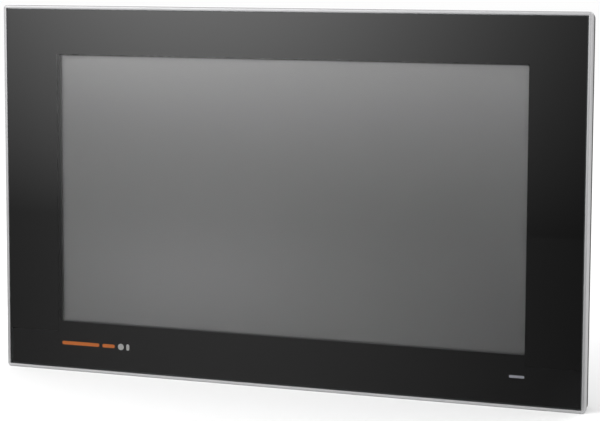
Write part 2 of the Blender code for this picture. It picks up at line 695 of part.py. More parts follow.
def rear_cover():
    """Removable plate over the electronics box, with vents and the service opening."""
    bm = bmesh.new()
    add_prism(bm, rounded_rect(BOX_W, BOX_H, BOX_CORNER, (0, BOX_Z)), COVER_FRONT, COVER_REAR)
    plate = finish("rear_cover", bm, coated_steel())

    lugs = bmesh.new()
    for side in (-1, 1):
        inner, outer = DOOR_W / 2 + 0.5, DOOR_W / 2 + 4.5
        x = sorted((DOOR_X + side * inner, DOOR_X + side * outer))
        add_turned(lugs, rod(HINGE_R, *x), (0, DOOR_AXIS_Y, DOOR_AXIS_Z), axis="X", sides=12)
    opening = bmesh.new()
    add_prism(opening, rounded_rect(DOOR_W + 1.0, DOOR_H + 1.0, 0.5,
                                    (DOOR_X, DOOR_LOW + DOOR_H / 2)), BOX_REAR - 4.0, BOX_REAR + 8.0)
    boolean(plate, cutter("cut_service_opening", opening))
    boolean(plate, cutter("join_hinge_lugs", lugs), "UNION")

    small = bmesh.new()
    add_turned(small, rod(PIN_R + RUNNING, DOOR_X - DOOR_W / 2 - 3.5, DOOR_X + DOOR_W / 2 + 3.5),
               (0, DOOR_AXIS_Y, DOOR_AXIS_Z), axis="X", sides=12)
    for i in range(19):
        outline = rounded_rect(3.0, 30.0, 1.47, (-126.0 + 14.0 * i, 74.0), steps=2)
        add_prism(small, outline, COVER_FRONT - 2.0, COVER_REAR + 2.0)
    for x, z in COVER_SCREWS:
        add_turned(small, rod(1.8, COVER_FRONT - 2.0, COVER_REAR + 2.0), (x, 0, z), sides=10)
    boolean(plate, cutter("cut_cover_holes", small))


def service_door():
    """Flap over the battery, turning on a pin along its lower edge."""
    axis = (DOOR_X, DOOR_AXIS_Y, DOOR_AXIS_Z)
    half = DOOR_W / 2
    bm = bmesh.new()
    add_box(bm, (DOOR_X - half, DOOR_X + half), (COVER_FRONT, COVER_REAR),
            (DOOR_AXIS_Z + 0.4, DOOR_LOW + DOOR_H))
    door = finish("service_door", bm, black_plastic(), origin=axis)
    barrel = bmesh.new()
    add_turned(barrel, rod(HINGE_R, DOOR_X - half, DOOR_X + half),
               (0, DOOR_AXIS_Y, DOOR_AXIS_Z), axis="X", sides=12)
    boolean(door, cutter("join_door_barrel", barrel), "UNION")
    grip = bmesh.new()
    add_box(grip, (DOOR_X - 9, DOOR_X + 9), (COVER_REAR - 0.3, COVER_REAR + 1.0),
            (DOOR_LOW + DOOR_H - 4.0, DOOR_LOW + DOOR_H - 1.0))
    boolean(door, cutter("join_door_grip", grip), "UNION")
    bore = bmesh.new()
    add_turned(bore, rod(PIN_R + RUNNING, DOOR_X - half - 1, DOOR_X + half + 1),
               (0, DOOR_AXIS_Y, DOOR_AXIS_Z), axis="X", sides=12)
    boolean(door, cutter("cut_door_bore", bore))

    bm = bmesh.new()
    add_turned(bm, rod(PIN_R, DOOR_X - half - 3.3, DOOR_X + half + 3.3),
               (0, DOOR_AXIS_Y, DOOR_AXIS_Z), axis="X", sides=12)
    finish("door_hinge_pin", bm, screw_steel(), origin=axis)


# --- fasteners and clamps ------------------------------------------------------------------------

def pan_head(seat, tip, head_r, shank_r, head_high):
    """Profile of a pan-head screw whose head stands on seat and whose shank reaches to tip."""
    return [(0, tip), (shank_r * 0.7, tip), (shank_r, tip + 0.6), (shank_r, seat), (head_r, seat),
            (head_r, seat + head_high * 0.55), (head_r * 0.6, seat + head_high), (0, seat + head_high)]


def screws():
    for number, (x, z) in enumerate(HOUSING_SCREWS, start=1):
        bm = bmesh.new()
        profile = pan_head(TRAY_REAR + SEAT, BEZEL_REAR - 2.6, 3.0, SCREW_SHANK_R, 2.0)
        add_turned(bm, profile, (x, 0, z), sides=12)
        finish(f"housing_screw_{number}", bm, screw_steel(), origin=(x, TRAY_REAR, z))
    for number, (x, z) in enumerate(COVER_SCREWS, start=1):
        bm = bmesh.new()
        profile = pan_head(COVER_REAR + SEAT, BOX_REAR - 4.5, 2.8, 1.4, 1.8)
        add_turned(bm, profile, (x, 0, z), sides=12)
        finish(f"cover_screw_{number}", bm, screw_steel(), origin=(x, COVER_REAR, z))


def clamp(row, number, x, side):
    """One clamp: a folded bracket hooked into the tray, a screw, and the foot that it pushes."""
    wall = TRAY_H / 2
    axis_z = side * (wall + CLAMP_SCREW_OUT)
    thick = 1.2
    base = (wall + SEAT, wall + SEAT + thick)
    top = wall + 6.1
    half = 9.0

    def span(low, high):
        return sorted((side * low, side * high))

    bm = bmesh.new()
    lug_front, lug_rear = CLAMP_LUG
    section = [(9.9, base[0]), (lug_rear, base[0]), (lug_rear, top), (lug_front, top),
               (lug_front, base[1]), (9.9, base[1])]
    add_prism(bm, [(y, side * z) for y, z in section], x - half, x + half, axis="X")
    bracket = finish(f"clamp_bracket_{row}_{number}", bm, sheet_steel())
    hooks = bmesh.new()
    for offset in (-5.5, 5.5):
        outline = [(9.9, wall + 0.6), (9.9, wall - 4.0), (13.6, wall - 4.0), (13.6, wall - 2.2),
                   (11.2, wall - 2.2), (11.2, wall + 0.6)]
        add_prism(hooks, [(y, side * z) for y, z in outline], x + offset - 1.6, x + offset + 1.6, axis="X")
    boolean(bracket, cutter(f"join_hooks_{row}_{number}", hooks), "UNION")
    hole = bmesh.new()
    add_turned(hole, rod(CLAMP_SCREW_R + RUNNING, lug_front - 1, lug_rear + 1), (x, 0, axis_z), sides=12)
    boolean(bracket, cutter(f"cut_lug_{row}_{number}", hole))

    bm = bmesh.new()
    bore_floor = FOOT_FRONT + 1.2
    bore_r = CLAMP_SCREW_R + RUNNING
    add_turned(bm, [(0, FOOT_FRONT), (FOOT_R, FOOT_FRONT), (FOOT_R, FOOT_REAR), (bore_r, FOOT_REAR),
                    (bore_r, bore_floor), (0, bore_floor)], (x, 0, axis_z), sides=12)
    finish(f"clamp_foot_{row}_{number}", bm, black_plastic(), origin=(x, FOOT_FRONT, axis_z))

    bm = bmesh.new()
    head, tip = 33.0, bore_floor + 0.2
    add_turned(bm, [(0, tip), (CLAMP_SCREW_R, tip), (CLAMP_SCREW_R, head), (2.3, head),
                    (2.3, head + 2.4), (1.3, head + 2.4), (1.3, head + 1.0), (0, head + 1.0)],
               (x, 0, axis_z), sides=12)
    finish(f"clamp_screw_{row}_{number}", bm, screw_steel(), origin=(x, head, axis_z))


def clamps():
    for row, side in (("top", 1), ("bottom", -1)):
        for number, x in enumerate(CLAMP_X, start=1):
            clamp(row, number, x, side)


def main():
    clear_scene()
    bezel_frame()
    cover_glass()
    black_mask()
    touch_sensor()
    glass_adhesive()
    panel_gasket()
    status_light()
    display_module()
    display_brackets()
    touch_electronics()
    carrier_plate()
    main_board()
    heat_spreader()
    display_cable()
    battery()
    ethernet_ports()
    usb_ports()
    serial_port()
    power_connector()
    memory_card()
    earth_stud()
    rear_housing()
    rear_cover()
    service_door()
    screws()
    clamps()


main()
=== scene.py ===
# %% [markdown]
# # An operator panel for a cabinet door
# The object is a flat touch panel: one sheet of glass over the whole face, a black printed border, a
# display that is switched off, and a slim aluminium frame. Behind the cabinet door sit a coated steel
# housing, its ports, a small service door and six clamps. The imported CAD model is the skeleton. Each
# step below gives one part of it a better shape or a better finish.

# %% Load the skeleton and measure it
import math
import random

import bmesh
import bpy
from mathutils import Matrix, Vector


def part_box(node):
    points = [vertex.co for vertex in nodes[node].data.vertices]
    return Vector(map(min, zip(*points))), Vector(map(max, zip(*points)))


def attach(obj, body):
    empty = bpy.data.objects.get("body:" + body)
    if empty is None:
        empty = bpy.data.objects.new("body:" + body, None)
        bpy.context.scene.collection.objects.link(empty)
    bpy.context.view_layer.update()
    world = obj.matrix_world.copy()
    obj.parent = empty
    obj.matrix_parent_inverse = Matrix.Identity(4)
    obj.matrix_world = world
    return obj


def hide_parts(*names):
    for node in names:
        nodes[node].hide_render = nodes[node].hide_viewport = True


MM = 0.001
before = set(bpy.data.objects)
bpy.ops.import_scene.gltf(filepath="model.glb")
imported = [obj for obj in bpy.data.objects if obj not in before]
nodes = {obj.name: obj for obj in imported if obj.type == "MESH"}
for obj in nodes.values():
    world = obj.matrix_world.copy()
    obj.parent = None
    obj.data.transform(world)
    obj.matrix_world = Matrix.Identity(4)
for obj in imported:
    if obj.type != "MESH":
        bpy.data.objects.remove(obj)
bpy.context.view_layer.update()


def placed(name, data):
    """A new object in the scene from a mesh, a curve, a lamp or a camera."""
    obj = bpy.data.objects.new(name, data)
    bpy.context.scene.collection.objects.link(obj)
    return obj


# %% [markdown]
# ## Writing nodes as sums
# A shader or a Geometry Nodes tree is easier to read as an expression than as a page of links. `Socket`
# wraps one output and turns `a * 2 + b` into Math nodes. `Graph.node` adds any other node: its settings
# come first, then its inputs, each a plain value or another socket. Two shapes are used again and
# again to place tones, a soft bell and a straight ramp.

# %% Sockets and graphs
class Socket:
    """One output of a node, which can be added, multiplied and compared like a number."""

    def __init__(self, graph, link):
        self.graph = graph
        self.link = link

    def out(self, key):
        return Socket(self.graph, self.link.node.outputs[key])

    def math(self, operation, *others, clamp=False):
        return self.graph.maths(operation, self, *others, clamp=clamp)

    def __add__(self, other):
        return self.math("ADD", other)

    def __sub__(self, other):
        return self.math("SUBTRACT", other)

    def __rsub__(self, other):
        return self.graph.maths("SUBTRACT", other, self)

    def __mul__(self, other):
        return self.math("MULTIPLY", other)

    def __truediv__(self, other):
        return self.math("DIVIDE", other)

    def __gt__(self, other):
        return self.math("GREATER_THAN", other)

    __radd__ = __add__
    __rmul__ = __mul__


class Graph:
    """A node tree with one method that adds a node of any kind."""

    def __init__(self, tree):
        self.tree = tree

    def node(self, kind, inputs=(), **settings):
        made = self.tree.nodes.new(kind)
        for name, value in settings.items():
            setattr(made, name, value)
        for key, value in dict(inputs).items():
            if isinstance(value, Socket):
                self.tree.links.new(value.link, made.inputs[key])
            else:
                made.inputs[key].default_value = value
        return Socket(self, made.outputs[0]) if made.outputs else made

    def maths(self, operation, *values, clamp=False):
        return self.node("ShaderNodeMath", dict(enumerate(values)), operation=operation, use_clamp=clamp)


def bell(distance, width):
    """A soft hill: 1 in its middle, and close to 0 at three widths from it."""
    ratio = distance / width
    return (ratio * ratio * -0.5).math("EXPONENT")


def ramp(value, start, end):
    """0 before the start, 1 after the end, straight in between."""
    return (value - start).math("DIVIDE", end - start, clamp=True)


# %% [markdown]
# ## A base for every finish
# Each material starts from one Principled shader. Real surfaces are never one flat value, so nearly
# every finish below gets a little change in colour and in roughness from noise, and a fine bump. The
# noise reads Object coordinates, which are metres here, so a grain of half a millimetre needs a scale
# of about 2000.

# %% The finish class
class Finish(Graph):
    """A material with a Principled shader and short ways to the textures that it uses."""

    def __init__(self, name, roughness=0.5, metallic=0.0, **sockets):
        self.material = bpy.data.materials.new(name)
        self.material.use_nodes = True
        super().__init__(self.material.node_tree)
        self.shader = self.tree.nodes["Principled BSDF"]
        self.place = self.node("ShaderNodeTexCoord").out("Object")
        self.set("Roughness", roughness)
        self.set("Metallic", metallic)
        for key, value in sockets.items():
            self.set(key.replace("_", " ").title().replace("Ior", "IOR"), value)

    def set(self, key, value):
        if isinstance(value, Socket):
            self.tree.links.new(value.link, self.shader.inputs[key])
        else:
            self.shader.inputs[key].default_value = value

    def noise(self, scale, detail=3.0, place=None):
        inputs = {"Vector": place or self.place, "Scale": scale, "Detail": detail}
        return self.node("ShaderNodeTexNoise", inputs)

    def axes(self):
        split = self.node("ShaderNodeSeparateXYZ", {0: self.place})
        return split.out("X"), split.out("Y"), split.out("Z")

    def mix(self, factor, first, second):
        """A blend of two colours, from the first at 0 to the second at 1."""
        return self.node("ShaderNodeMix", {0: factor, 6: first, 7: second}, data_type="RGBA").out(2)

    def colour(self, factor, first, second):
        self.set("Base Color", self.mix(factor, first, second))

    def bump(self, height, strength, depth_mm):
        inputs = {"Strength": strength, "Distance": depth_mm * MM, "Height": height}
        self.set("Normal", self.node("ShaderNodeBump", inputs))

    def shared(self, share, first, second):
        """Ends the material in two shaders: the first at a share of 0, the second at 1."""
        both = self.node("ShaderNodeMixShader", {0: share, 1: first, 2: second})
        self.tree.links.new(both.link, self.tree.nodes["Material Output"].inputs["Surface"])


def rgb(red, green, blue):
    return (red, green, blue, 1.0)


def grained(name, dark, light, roughness, grain, patch=40.0, depth_mm=0.02, metallic=0.0, spread=0.08,
            strength=0.3, **sockets):
    """A finish whose colour drifts in patches and whose surface has an even grain."""
    finish = Finish(name, metallic=metallic, **sockets)
    drift = finish.noise(patch, 4.0)
    fine = finish.noise(grain, 2.0)
    finish.colour(drift * 0.7 + fine * 0.3, rgb(*dark), rgb(*light))
    finish.set("Roughness", drift * spread + (roughness - spread / 2) + (fine - 0.5) * spread)
    finish.bump(fine, strength, depth_mm)
    return finish


# %% [markdown]
# ## The finishes
# The frame is satin anodised aluminium, so its grain runs along each side as the cutter left it. Sheet
# steel inside is zinc plated and shows a faint spangle of crystals. The housing has a textured powder
# coat. Plastics have the fine sparkle of an eroded mould.

# %% Metals
def anodised():
    """Satin aluminium: fine streaks along the side, stored on the mesh as its run and its girth."""
    finish = Finish("anodised_aluminium", metallic=0.75)
    run = finish.node("ShaderNodeAttribute", attribute_name="run").out("Fac")
    girth = finish.node("ShaderNodeAttribute", attribute_name="girth").out("Fac")
    spot = finish.node("ShaderNodeCombineXYZ", {0: run * 40.0, 1: girth * 9000.0})
    streak = finish.noise(1.0, 3.0, spot)
    cloud = finish.noise(14.0, 3.0)
    finish.colour(streak * 0.5 + cloud * 0.5, rgb(0.37, 0.37, 0.375), rgb(0.48, 0.48, 0.485))
    finish.set("Roughness", streak * 0.10 + cloud * 0.06 + 0.42)
    finish.bump(streak, 0.15, 0.01)
    return finish


def drawn():
    """Aluminium with fine lines along Z, as an extrusion or a brushed sheet has."""
    finish = Finish("drawn_aluminium", metallic=1.0)
    place = finish.node("ShaderNodeMapping", {"Vector": finish.place, "Scale": (900.0, 900.0, 8.0)})
    lines = finish.noise(1.0, 4.0, place)
    finish.colour(lines, rgb(0.42, 0.42, 0.4242), rgb(0.56, 0.56, 0.5656))
    finish.set("Roughness", lines * 0.16 + 0.26)
    finish.bump(lines, 0.2, 0.01)
    return finish


def plated_sheet():
    """Zinc-plated steel: patches of crystal, each turned a little differently."""
    finish = Finish("zinc_plated_sheet", metallic=1.0)
    crystal = finish.node("ShaderNodeTexVoronoi", {"Vector": finish.place, "Scale": 260.0}).out("Color")
    facet = finish.node("ShaderNodeSeparateColor", {0: crystal})
    drift = finish.noise(25.0, 4.0)
    finish.colour(facet * 0.35 + drift * 0.65, rgb(0.44, 0.45, 0.47), rgb(0.64, 0.65, 0.66))
    finish.set("Roughness", facet * 0.10 + drift * 0.12 + 0.24)
    finish.bump(finish.noise(1500.0, 2.0), 0.12, 0.01)
    return finish


ALUMINIUM = anodised()
DRAWN_ALUMINIUM = drawn()
SHEET = plated_sheet()
STEEL = grained("nickel_plated_steel", (0.42, 0.42, 0.41), (0.62, 0.61, 0.59), 0.27, 1800.0,
                patch=300.0, depth_mm=0.01, metallic=1.0, spread=0.1)
GOLD = grained("gold_contacts", (0.72, 0.48, 0.16), (0.86, 0.62, 0.26), 0.25, 2500.0,
               patch=500.0, depth_mm=0.005, metallic=1.0)
print("metals:", [f.material.name for f in (ALUMINIUM, DRAWN_ALUMINIUM, SHEET, STEEL, GOLD)])

# %% Coats, rubbers and plastics
COAT = grained("textured_coat", (0.055, 0.058, 0.062), (0.085, 0.089, 0.094), 0.52, 1600.0,
               patch=30.0, depth_mm=0.09, spread=0.12, strength=0.55)
RUBBER = grained("moulded_seal_rubber", (0.010, 0.010, 0.010), (0.020, 0.020, 0.020), 0.72, 2400.0,
                 patch=60.0, depth_mm=0.03, spread=0.1)
FOAM = grained("sealing_foam", (0.008, 0.008, 0.008), (0.022, 0.022, 0.022), 0.9, 3500.0,
               patch=90.0, depth_mm=0.08, strength=0.6)
BLACK_PLASTIC = grained("moulded_black_plastic", (0.013, 0.013, 0.014), (0.024, 0.024, 0.026), 0.45,
                        2600.0, patch=50.0, depth_mm=0.03)
GREEN_PLASTIC = grained("terminal_green_plastic", (0.020, 0.200, 0.070), (0.035, 0.270, 0.100), 0.42,
                        2600.0, patch=70.0, depth_mm=0.03)
AMBER_FILM = grained("amber_film", (0.36, 0.13, 0.015), (0.50, 0.21, 0.03), 0.32, 900.0,
                     patch=60.0, depth_mm=0.01)
LIGHT_PIPE = grained("frosted_light_pipe", (0.52, 0.52, 0.60), (0.62, 0.62, 0.70), 0.4,
                     2200.0, patch=200.0, depth_mm=0.01)
ORANGE_PRINT = grained("orange_print", (0.86, 0.215, 0.022), (0.98, 0.27, 0.035), 0.5, 3000.0,
                       patch=300.0, depth_mm=0.004, specular_ior_level=0.1)
PALE_PRINT = grained("pale_print", (0.68, 0.68, 0.67), (0.78, 0.78, 0.77), 0.5, 3000.0,
                     patch=300.0, depth_mm=0.004, specular_ior_level=0.1)
print("coats and plastics:", [f.material.name for f in (COAT, RUBBER, FOAM, BLACK_PLASTIC, GREEN_PLASTIC)])

# %% [markdown]
# ## Circuit board
# A board is green lacquer over a network of copper tracks. The tracks run in straight lines and turn
# at right angles, and a grid of brick shapes whose mortar is the track gives that at no cost in faces.

# %% The board finish
def circuit_board():
    finish = Finish("circuit_board")
    x, y, z = finish.axes()
    flat = finish.node("ShaderNodeCombineXYZ", {0: x, 1: z})
    tracks = None
    for scale, offset in ((230.0, 0.37), (410.0, 0.61)):
        inputs = {"Vector": flat, "Scale": scale, "Mortar Size": 0.03, "Brick Width": 1.9, "Row Height": 0.22}
        lines = finish.node("ShaderNodeTexBrick", inputs, offset=offset, squash=1.4).out("Fac")
        tracks = lines if tracks is None else tracks.math("MAXIMUM", lines)
    cloud = finish.noise(45.0, 3.0)
    lacquer = finish.mix(cloud, rgb(0.008, 0.085, 0.030), rgb(0.012, 0.120, 0.045))
    finish.colour(tracks, lacquer, rgb(0.035, 0.230, 0.080))
    finish.set("Roughness", cloud * 0.1 + tracks * 0.1 + 0.28)
    finish.bump(tracks, 0.35, 0.03)
    return finish


BOARD = circuit_board()
print("board finish:", len(BOARD.tree.nodes), "nodes")

# %% [markdown]
# ## The face: print, display and glass
# Three layers make the face. The border is ink printed on the back of the glass, dense black with a
# trace of mottle. The display is off, so it shows the matt grey of its front film, a fine grid of
# cells, and a darker strip round the part that lights up. The glass in front is clear, and what it
# reflects gives the face its sheen, so its shader mixes see-through and mirror by the Fresnel law.
# Where only print lies behind, the same gloss on plain black looks alike and renders without grain.

# %% Ink and display film
FACE_X, FACE_Z, LIT_W, LIT_H, CELL = 0.8 * MM, 0.2 * MM, 344.2, 193.5, 0.18


def border_ink():
    finish = Finish("border_ink", specular_ior_level=0.0)
    mottle = finish.noise(18.0, 4.0)
    speck = finish.noise(4000.0, 1.0)
    finish.colour(mottle * 0.6 + speck * 0.4, rgb(0.0015, 0.0015, 0.0016), rgb(0.0045, 0.0045, 0.0047))
    finish.set("Roughness", speck * 0.1 + 0.4)
    return finish


def display_film():
    """Matt grey film with a fine grid, a random haze and a darker strip outside the lit part, with painted
    light that makes it lighter towards its top, two spots of painted sheen at the lower and upper left, and
    painted shade at the lower right.
    """
    finish = Finish("display_film", specular_ior_level=0.3)
    x, y, z = finish.axes()
    across = (x - FACE_X).math("ABSOLUTE") > LIT_W / 2 * MM
    up = (z - FACE_Z).math("ABSOLUTE") > LIT_H / 2 * MM
    edge = across.math("MAXIMUM", up)
    wave = math.tau / (CELL * MM)
    cell = (x * wave).math("SINE") * (z * wave).math("SINE")
    haze = finish.noise(9.0, 2.0)
    # Painted light: the film is made lighter towards its top, as if lit from above.
    painted_top_light = ramp(z + x * 0.12, 0.005, 0.105)
    # Painted shade: this ramp darkens the film towards its lower right.
    corner = ramp(x, 0.06, 0.171) * ramp(z, 0.0, -0.0833)
    # Painted sheen: two soft lighter spots on the film, one at the lower left and one at the upper left.
    patch = bell(x + 0.075, 0.08) * bell(z + 0.06, 0.0354)
    painted_top_left_sheen = bell(x + 0.13, 0.0632) * bell(z - 0.10, 0.0245)
    # The sum holds the painted light, sheen and shade besides the random haze and the faint cell grid.
    pale = painted_top_light * painted_top_light * 0.76 + patch * 0.38 + painted_top_left_sheen * 0.22 - corner * 0.20 + haze * 0.08 + cell * 0.01 + 0.22
    grey = finish.mix(pale, rgb(0.160, 0.160, 0.1605), rgb(0.400, 0.400, 0.4015))
    finish.colour(edge, grey, rgb(0.150, 0.150, 0.1505))
    finish.set("Roughness", haze * 0.04 + 0.36)
    finish.bump(finish.noise(2500.0, 2.0), 0.08, 0.01)
    return finish


INK = border_ink()
FILM = display_film()
print("face finishes:", INK.material.name, FILM.material.name)

# %% Clear glass
WINDOW_W, WINDOW_H, MARGIN, MARK_TOP = 345.6, 194.4, 1.0, -104.0


def over_print(place):
    """1 where only black lies behind, 0 over the display and over the strip with mark and light."""
    x, y, z = place
    beside = (x - FACE_X).math("ABSOLUTE") > (WINDOW_W / 2 + MARGIN) * MM
    above = z - FACE_Z > (WINDOW_H / 2 + MARGIN) * MM
    return beside.math("MAXIMUM", above) * (z > MARK_TOP * MM)


def clear_glass(name, bend, tint=0.97, black=None):
    """See-through glass that reflects by the Fresnel law, with a very slight ripple, black over print."""
    finish = Finish(name, metallic=1.0, roughness=0.02, base_color=rgb(1.0, 1.0, 1.0))
    finish.bump(finish.noise(6.0, 1.0), 0.05, 0.01)
    clear = finish.node("ShaderNodeBsdfTransparent", {"Color": rgb(tint, tint, tint)})
    share = finish.node("ShaderNodeFresnel", {"IOR": bend})
    if black:
        printed = black(finish.axes())
        finish.colour(printed, rgb(1.0, 1.0, 1.0), rgb(0.0004, 0.0004, 0.0004))
        finish.set("Metallic", 1.0 - printed)
        share = share.math("MAXIMUM", printed)
    finish.shared(share, clear, Socket(finish, finish.shader.outputs[0]))
    return finish


FRONT_GLASS = clear_glass("front_glass", 1.5, black=over_print)
BONDED_SIDE = clear_glass("bonded_side", 1.02, tint=1.0)
GROUND_EDGE = grained("ground_glass_edge", (0.03, 0.035, 0.035), (0.06, 0.07, 0.07), 0.45, 3000.0,
                      patch=200.0, depth_mm=0.02)
print("glass:", FRONT_GLASS.material.name, BONDED_SIDE.material.name, GROUND_EDGE.material.name)

# %% [markdown]
# ## Shapes in mesh code
# Most pieces here are outlines pushed through a thickness, or profiles turned round an axis. Real ones
# never have a perfectly sharp edge, so the outline is drawn several times: slightly smaller at each
# face, full size in between. The helpers make faces that point outwards.

# %% Outline, loft and turned helpers
def rounded(width, height, radius, centre=(0.0, 0.0), steps=6):
    """Points of a rectangle with round corners, in millimetres."""
    points = []
    for corner, (sx, sz) in enumerate(((1, 1), (-1, 1), (-1, -1), (1, -1))):
        cx = centre[0] + sx * (width / 2 - radius)
        cz = centre[1] + sz * (height / 2 - radius)
        for step in range(steps + 1):
            angle = math.radians(90 * (corner + step / steps))
            points.append((cx + radius * math.cos(angle), cz + radius * math.sin(angle)))
    return points


AXES = {"X": lambda p, d: (d, *p), "Y": lambda p, d: (p[0], d, p[1]), "Z": lambda p, d: (*p, d)}


def painted(bm, faces, finish):
    """Turns new faces outwards and gives them one of the piece's finishes."""
    bmesh.ops.recalc_face_normals(bm, faces=faces)
    for face in faces:
        face.material_index = finish


def loft(bm, outlines, depths, axis="Y", closed=False, finish=0):
    """Joins matching outlines at their depths. Open ends are capped, or a closed loft meets itself."""
    loops = [[bm.verts.new(Vector(AXES[axis](p, d)) * MM) for p in outline]
             for outline, d in zip(outlines, depths)]
    faces = [] if closed else [bm.faces.new(loops[0]), bm.faces.new(loops[-1])]
    pairs = list(zip(loops, loops[1:] + loops[:1])) if closed else list(zip(loops, loops[1:]))
    for near, far in pairs:
        for i in range(len(near)):
            j = (i + 1) % len(near)
            faces.append(bm.faces.new((near[i], near[j], far[j], far[i])))
    painted(bm, faces, finish)


def block(bm, x, y, z, edge=0.15, radius=None, finish=0):
    """A box between two values on each axis, with softened edges. It is drawn along Y."""
    centre = ((x[0] + x[1]) / 2, (z[0] + z[1]) / 2)
    width, height = x[1] - x[0], z[1] - z[0]
    corner = radius or edge
    full = rounded(width, height, corner, centre, steps=2)
    small = rounded(width - 2 * edge, height - 2 * edge, max(corner - edge, 0.02), centre, steps=2)
    loft(bm, [small, full, full, small], [y[0], y[0] + edge, y[1] - edge, y[1]], finish=finish)


def turned(bm, profile, centre=(0, 0, 0), axis="Y", sides=32):
    """A profile of (radius, distance) turned round an axis. A radius of 0 closes an end."""
    rings = []
    for radius, distance in profile:
        angles = [0.0] if radius == 0 else [math.tau * i / sides for i in range(sides)]
        points = [AXES[axis]((radius * math.cos(a), radius * math.sin(a)), distance) for a in angles]
        rings.append([bm.verts.new((Vector(centre) + Vector(point)) * MM) for point in points])
    faces = []
    for near, far in zip(rings, rings[1:]):
        for i in range(sides):
            j = (i + 1) % sides
            corners = (near[i % len(near)], near[j % len(near)], far[j % len(far)], far[i % len(far)])
            faces.append(bm.faces.new(list(dict.fromkeys(corners))))
    painted(bm, faces, 0)


def rod(radius, start, end):
    """The profile of a plain round rod."""
    return [(0, start), (radius, start), (radius, end), (0, end)]


def smoothed(mesh, sharp=32.0):
    """Smooth shading, except across edges that turn by more than this many degrees."""
    mesh.shade_smooth()
    mesh.set_sharp_from_angle(angle=math.radians(sharp))
    return mesh


def piece(name, bm, *finishes):
    """The finished object of a working mesh, at the origin."""
    mesh = bpy.data.meshes.new(name)
    bm.to_mesh(mesh)
    bm.free()
    for finish in finishes:
        mesh.materials.append(finish.material)
    return placed(name, smoothed(mesh))


def settle(obj, slot, *stands_for, body="panel"):
    """Says which body a piece rides on and which CAD nodes it stands for. The slot argument is not used."""
    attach(obj, body)
    if stands_for:
        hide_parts(*stands_for)
    print(f"{obj.name}: {len(obj.data.polygons)} faces, on {body}")
    return obj


# %% [markdown]
# ## The frame round the glass
# The frame follows one rule: a small section runs round a rectangle with rounded corners. Geometry
# Nodes say exactly that, with Curve to Mesh, so the section can be drawn once with its chamfer and its
# broken edges. The tree also stores how far round and how far along the section each point is, for
# the streaks of the finish. The gasket behind it uses the same tree with a soft section, whose thin lip
# wraps the rear edge of the frame and shows as a black line from the side.

# %% A tree that runs a section round a rectangle
def section_object(points):
    """A closed outline as a curve, drawn as inward distance and height towards the operator."""
    curve = bpy.data.curves.new("section", "CURVE")
    spline = curve.splines.new("POLY")
    spline.points.add(len(points) - 1)
    for point, (inward, height) in zip(spline.points, points):
        point.co = (-inward * MM, -height * MM, 0.0, 1.0)
    spline.use_cyclic_u = True
    return placed("section", curve)


def new_tree(name, **inputs):
    """The graph of an empty Geometry Nodes tree, and its named inputs."""
    tree = bpy.data.node_groups.new(name, "GeometryNodeTree")
    tree.interface.new_socket("Geometry", in_out="INPUT", socket_type="NodeSocketGeometry")
    for label, kind in inputs.items():
        tree.interface.new_socket(label, in_out="INPUT", socket_type=f"NodeSocket{kind}")
    tree.interface.new_socket("Geometry", in_out="OUTPUT", socket_type="NodeSocketGeometry")
    graph = Graph(tree)
    start = graph.node("NodeGroupInput")
    return graph, {"Geometry": start, **{label: start.out(label) for label in inputs}}


def close_tree(graph, geometry, finish):
    """Ends a tree as every one here ends: real geometry, one material."""
    real = graph.node("GeometryNodeRealizeInstances", {0: geometry})
    coated = graph.node("GeometryNodeSetMaterial", {"Geometry": real, "Material": finish})
    graph.node("NodeGroupOutput", {0: coated})
    return graph.tree


def along(graph, curve, name):
    """The same curve, with each point's distance along it stored under a name."""
    distance = graph.node("GeometryNodeSplineParameter").out("Length")
    inputs = {"Geometry": curve, "Name": name, "Value": distance}
    return graph.node("GeometryNodeStoreNamedAttribute", inputs, data_type="FLOAT", domain="POINT")


def section_tree():
    graph, given = new_tree("run a section round a rectangle", Width="Float", Height="Float",
                            Corner="Float", Section="Object", Finish="Material")
    shape = graph.node("GeometryNodeCurvePrimitiveQuadrilateral", {0: given["Width"], 1: given["Height"]})
    path = graph.node("GeometryNodeFilletCurve", {"Curve": shape, "Radius": given["Corner"], "Count": 8,
                                                  "Limit Radius": True}, mode="POLY")
    outline = graph.node("GeometryNodeObjectInfo", {"Object": given["Section"]}).out("Geometry")
    path, outline = along(graph, path, "run"), along(graph, outline, "girth")
    level = graph.node("GeometryNodeSetCurveNormal", {"Curve": path}, mode="Z_UP")
    body = graph.node("GeometryNodeCurveToMesh", {"Curve": level, "Profile Curve": outline})
    upright = graph.node("GeometryNodeTransform", {"Geometry": body, "Rotation": (math.radians(90), 0, 0)})
    return close_tree(graph, upright, given["Finish"])


SECTION_TREE = section_tree()
print("tree:", SECTION_TREE.name, "with", len(SECTION_TREE.nodes), "nodes")

# %% Bake a tree's result into a plain mesh
def grown(name, start, tree, values, helpers=()):
    """Runs a tree on a starting object and keeps the result as a plain mesh piece."""
    modifier = start.modifiers.new("grow", "NODES")
    modifier.node_group = tree
    for socket in tree.interface.items_tree:
        if socket.in_out == "INPUT" and socket.name in values:
            modifier[socket.identifier] = values[socket.name]
    start.update_tag()
    bpy.context.view_layer.update()
    result = start.evaluated_get(bpy.context.evaluated_depsgraph_get())
    mesh = bpy.data.meshes.new_from_object(result)
    mesh.name = name
    bm = bmesh.new()
    bm.from_mesh(mesh)
    bmesh.ops.recalc_face_normals(bm, faces=bm.faces)
    bm.to_mesh(mesh)
    bm.free()
    for helper in (start, *helpers):
        bpy.data.objects.remove(helper)
    return placed(name, smoothed(mesh))


def empty_mesh():
    return placed("start", bpy.data.meshes.new("start"))


def run_section(name, points, width, height, corner, finish):
    section = section_object(points)
    values = {"Width": width * MM, "Height": height * MM, "Corner": corner * MM,
              "Section": section, "Finish": finish.material}
    return grown(name, empty_mesh(), SECTION_TREE, values, [section])


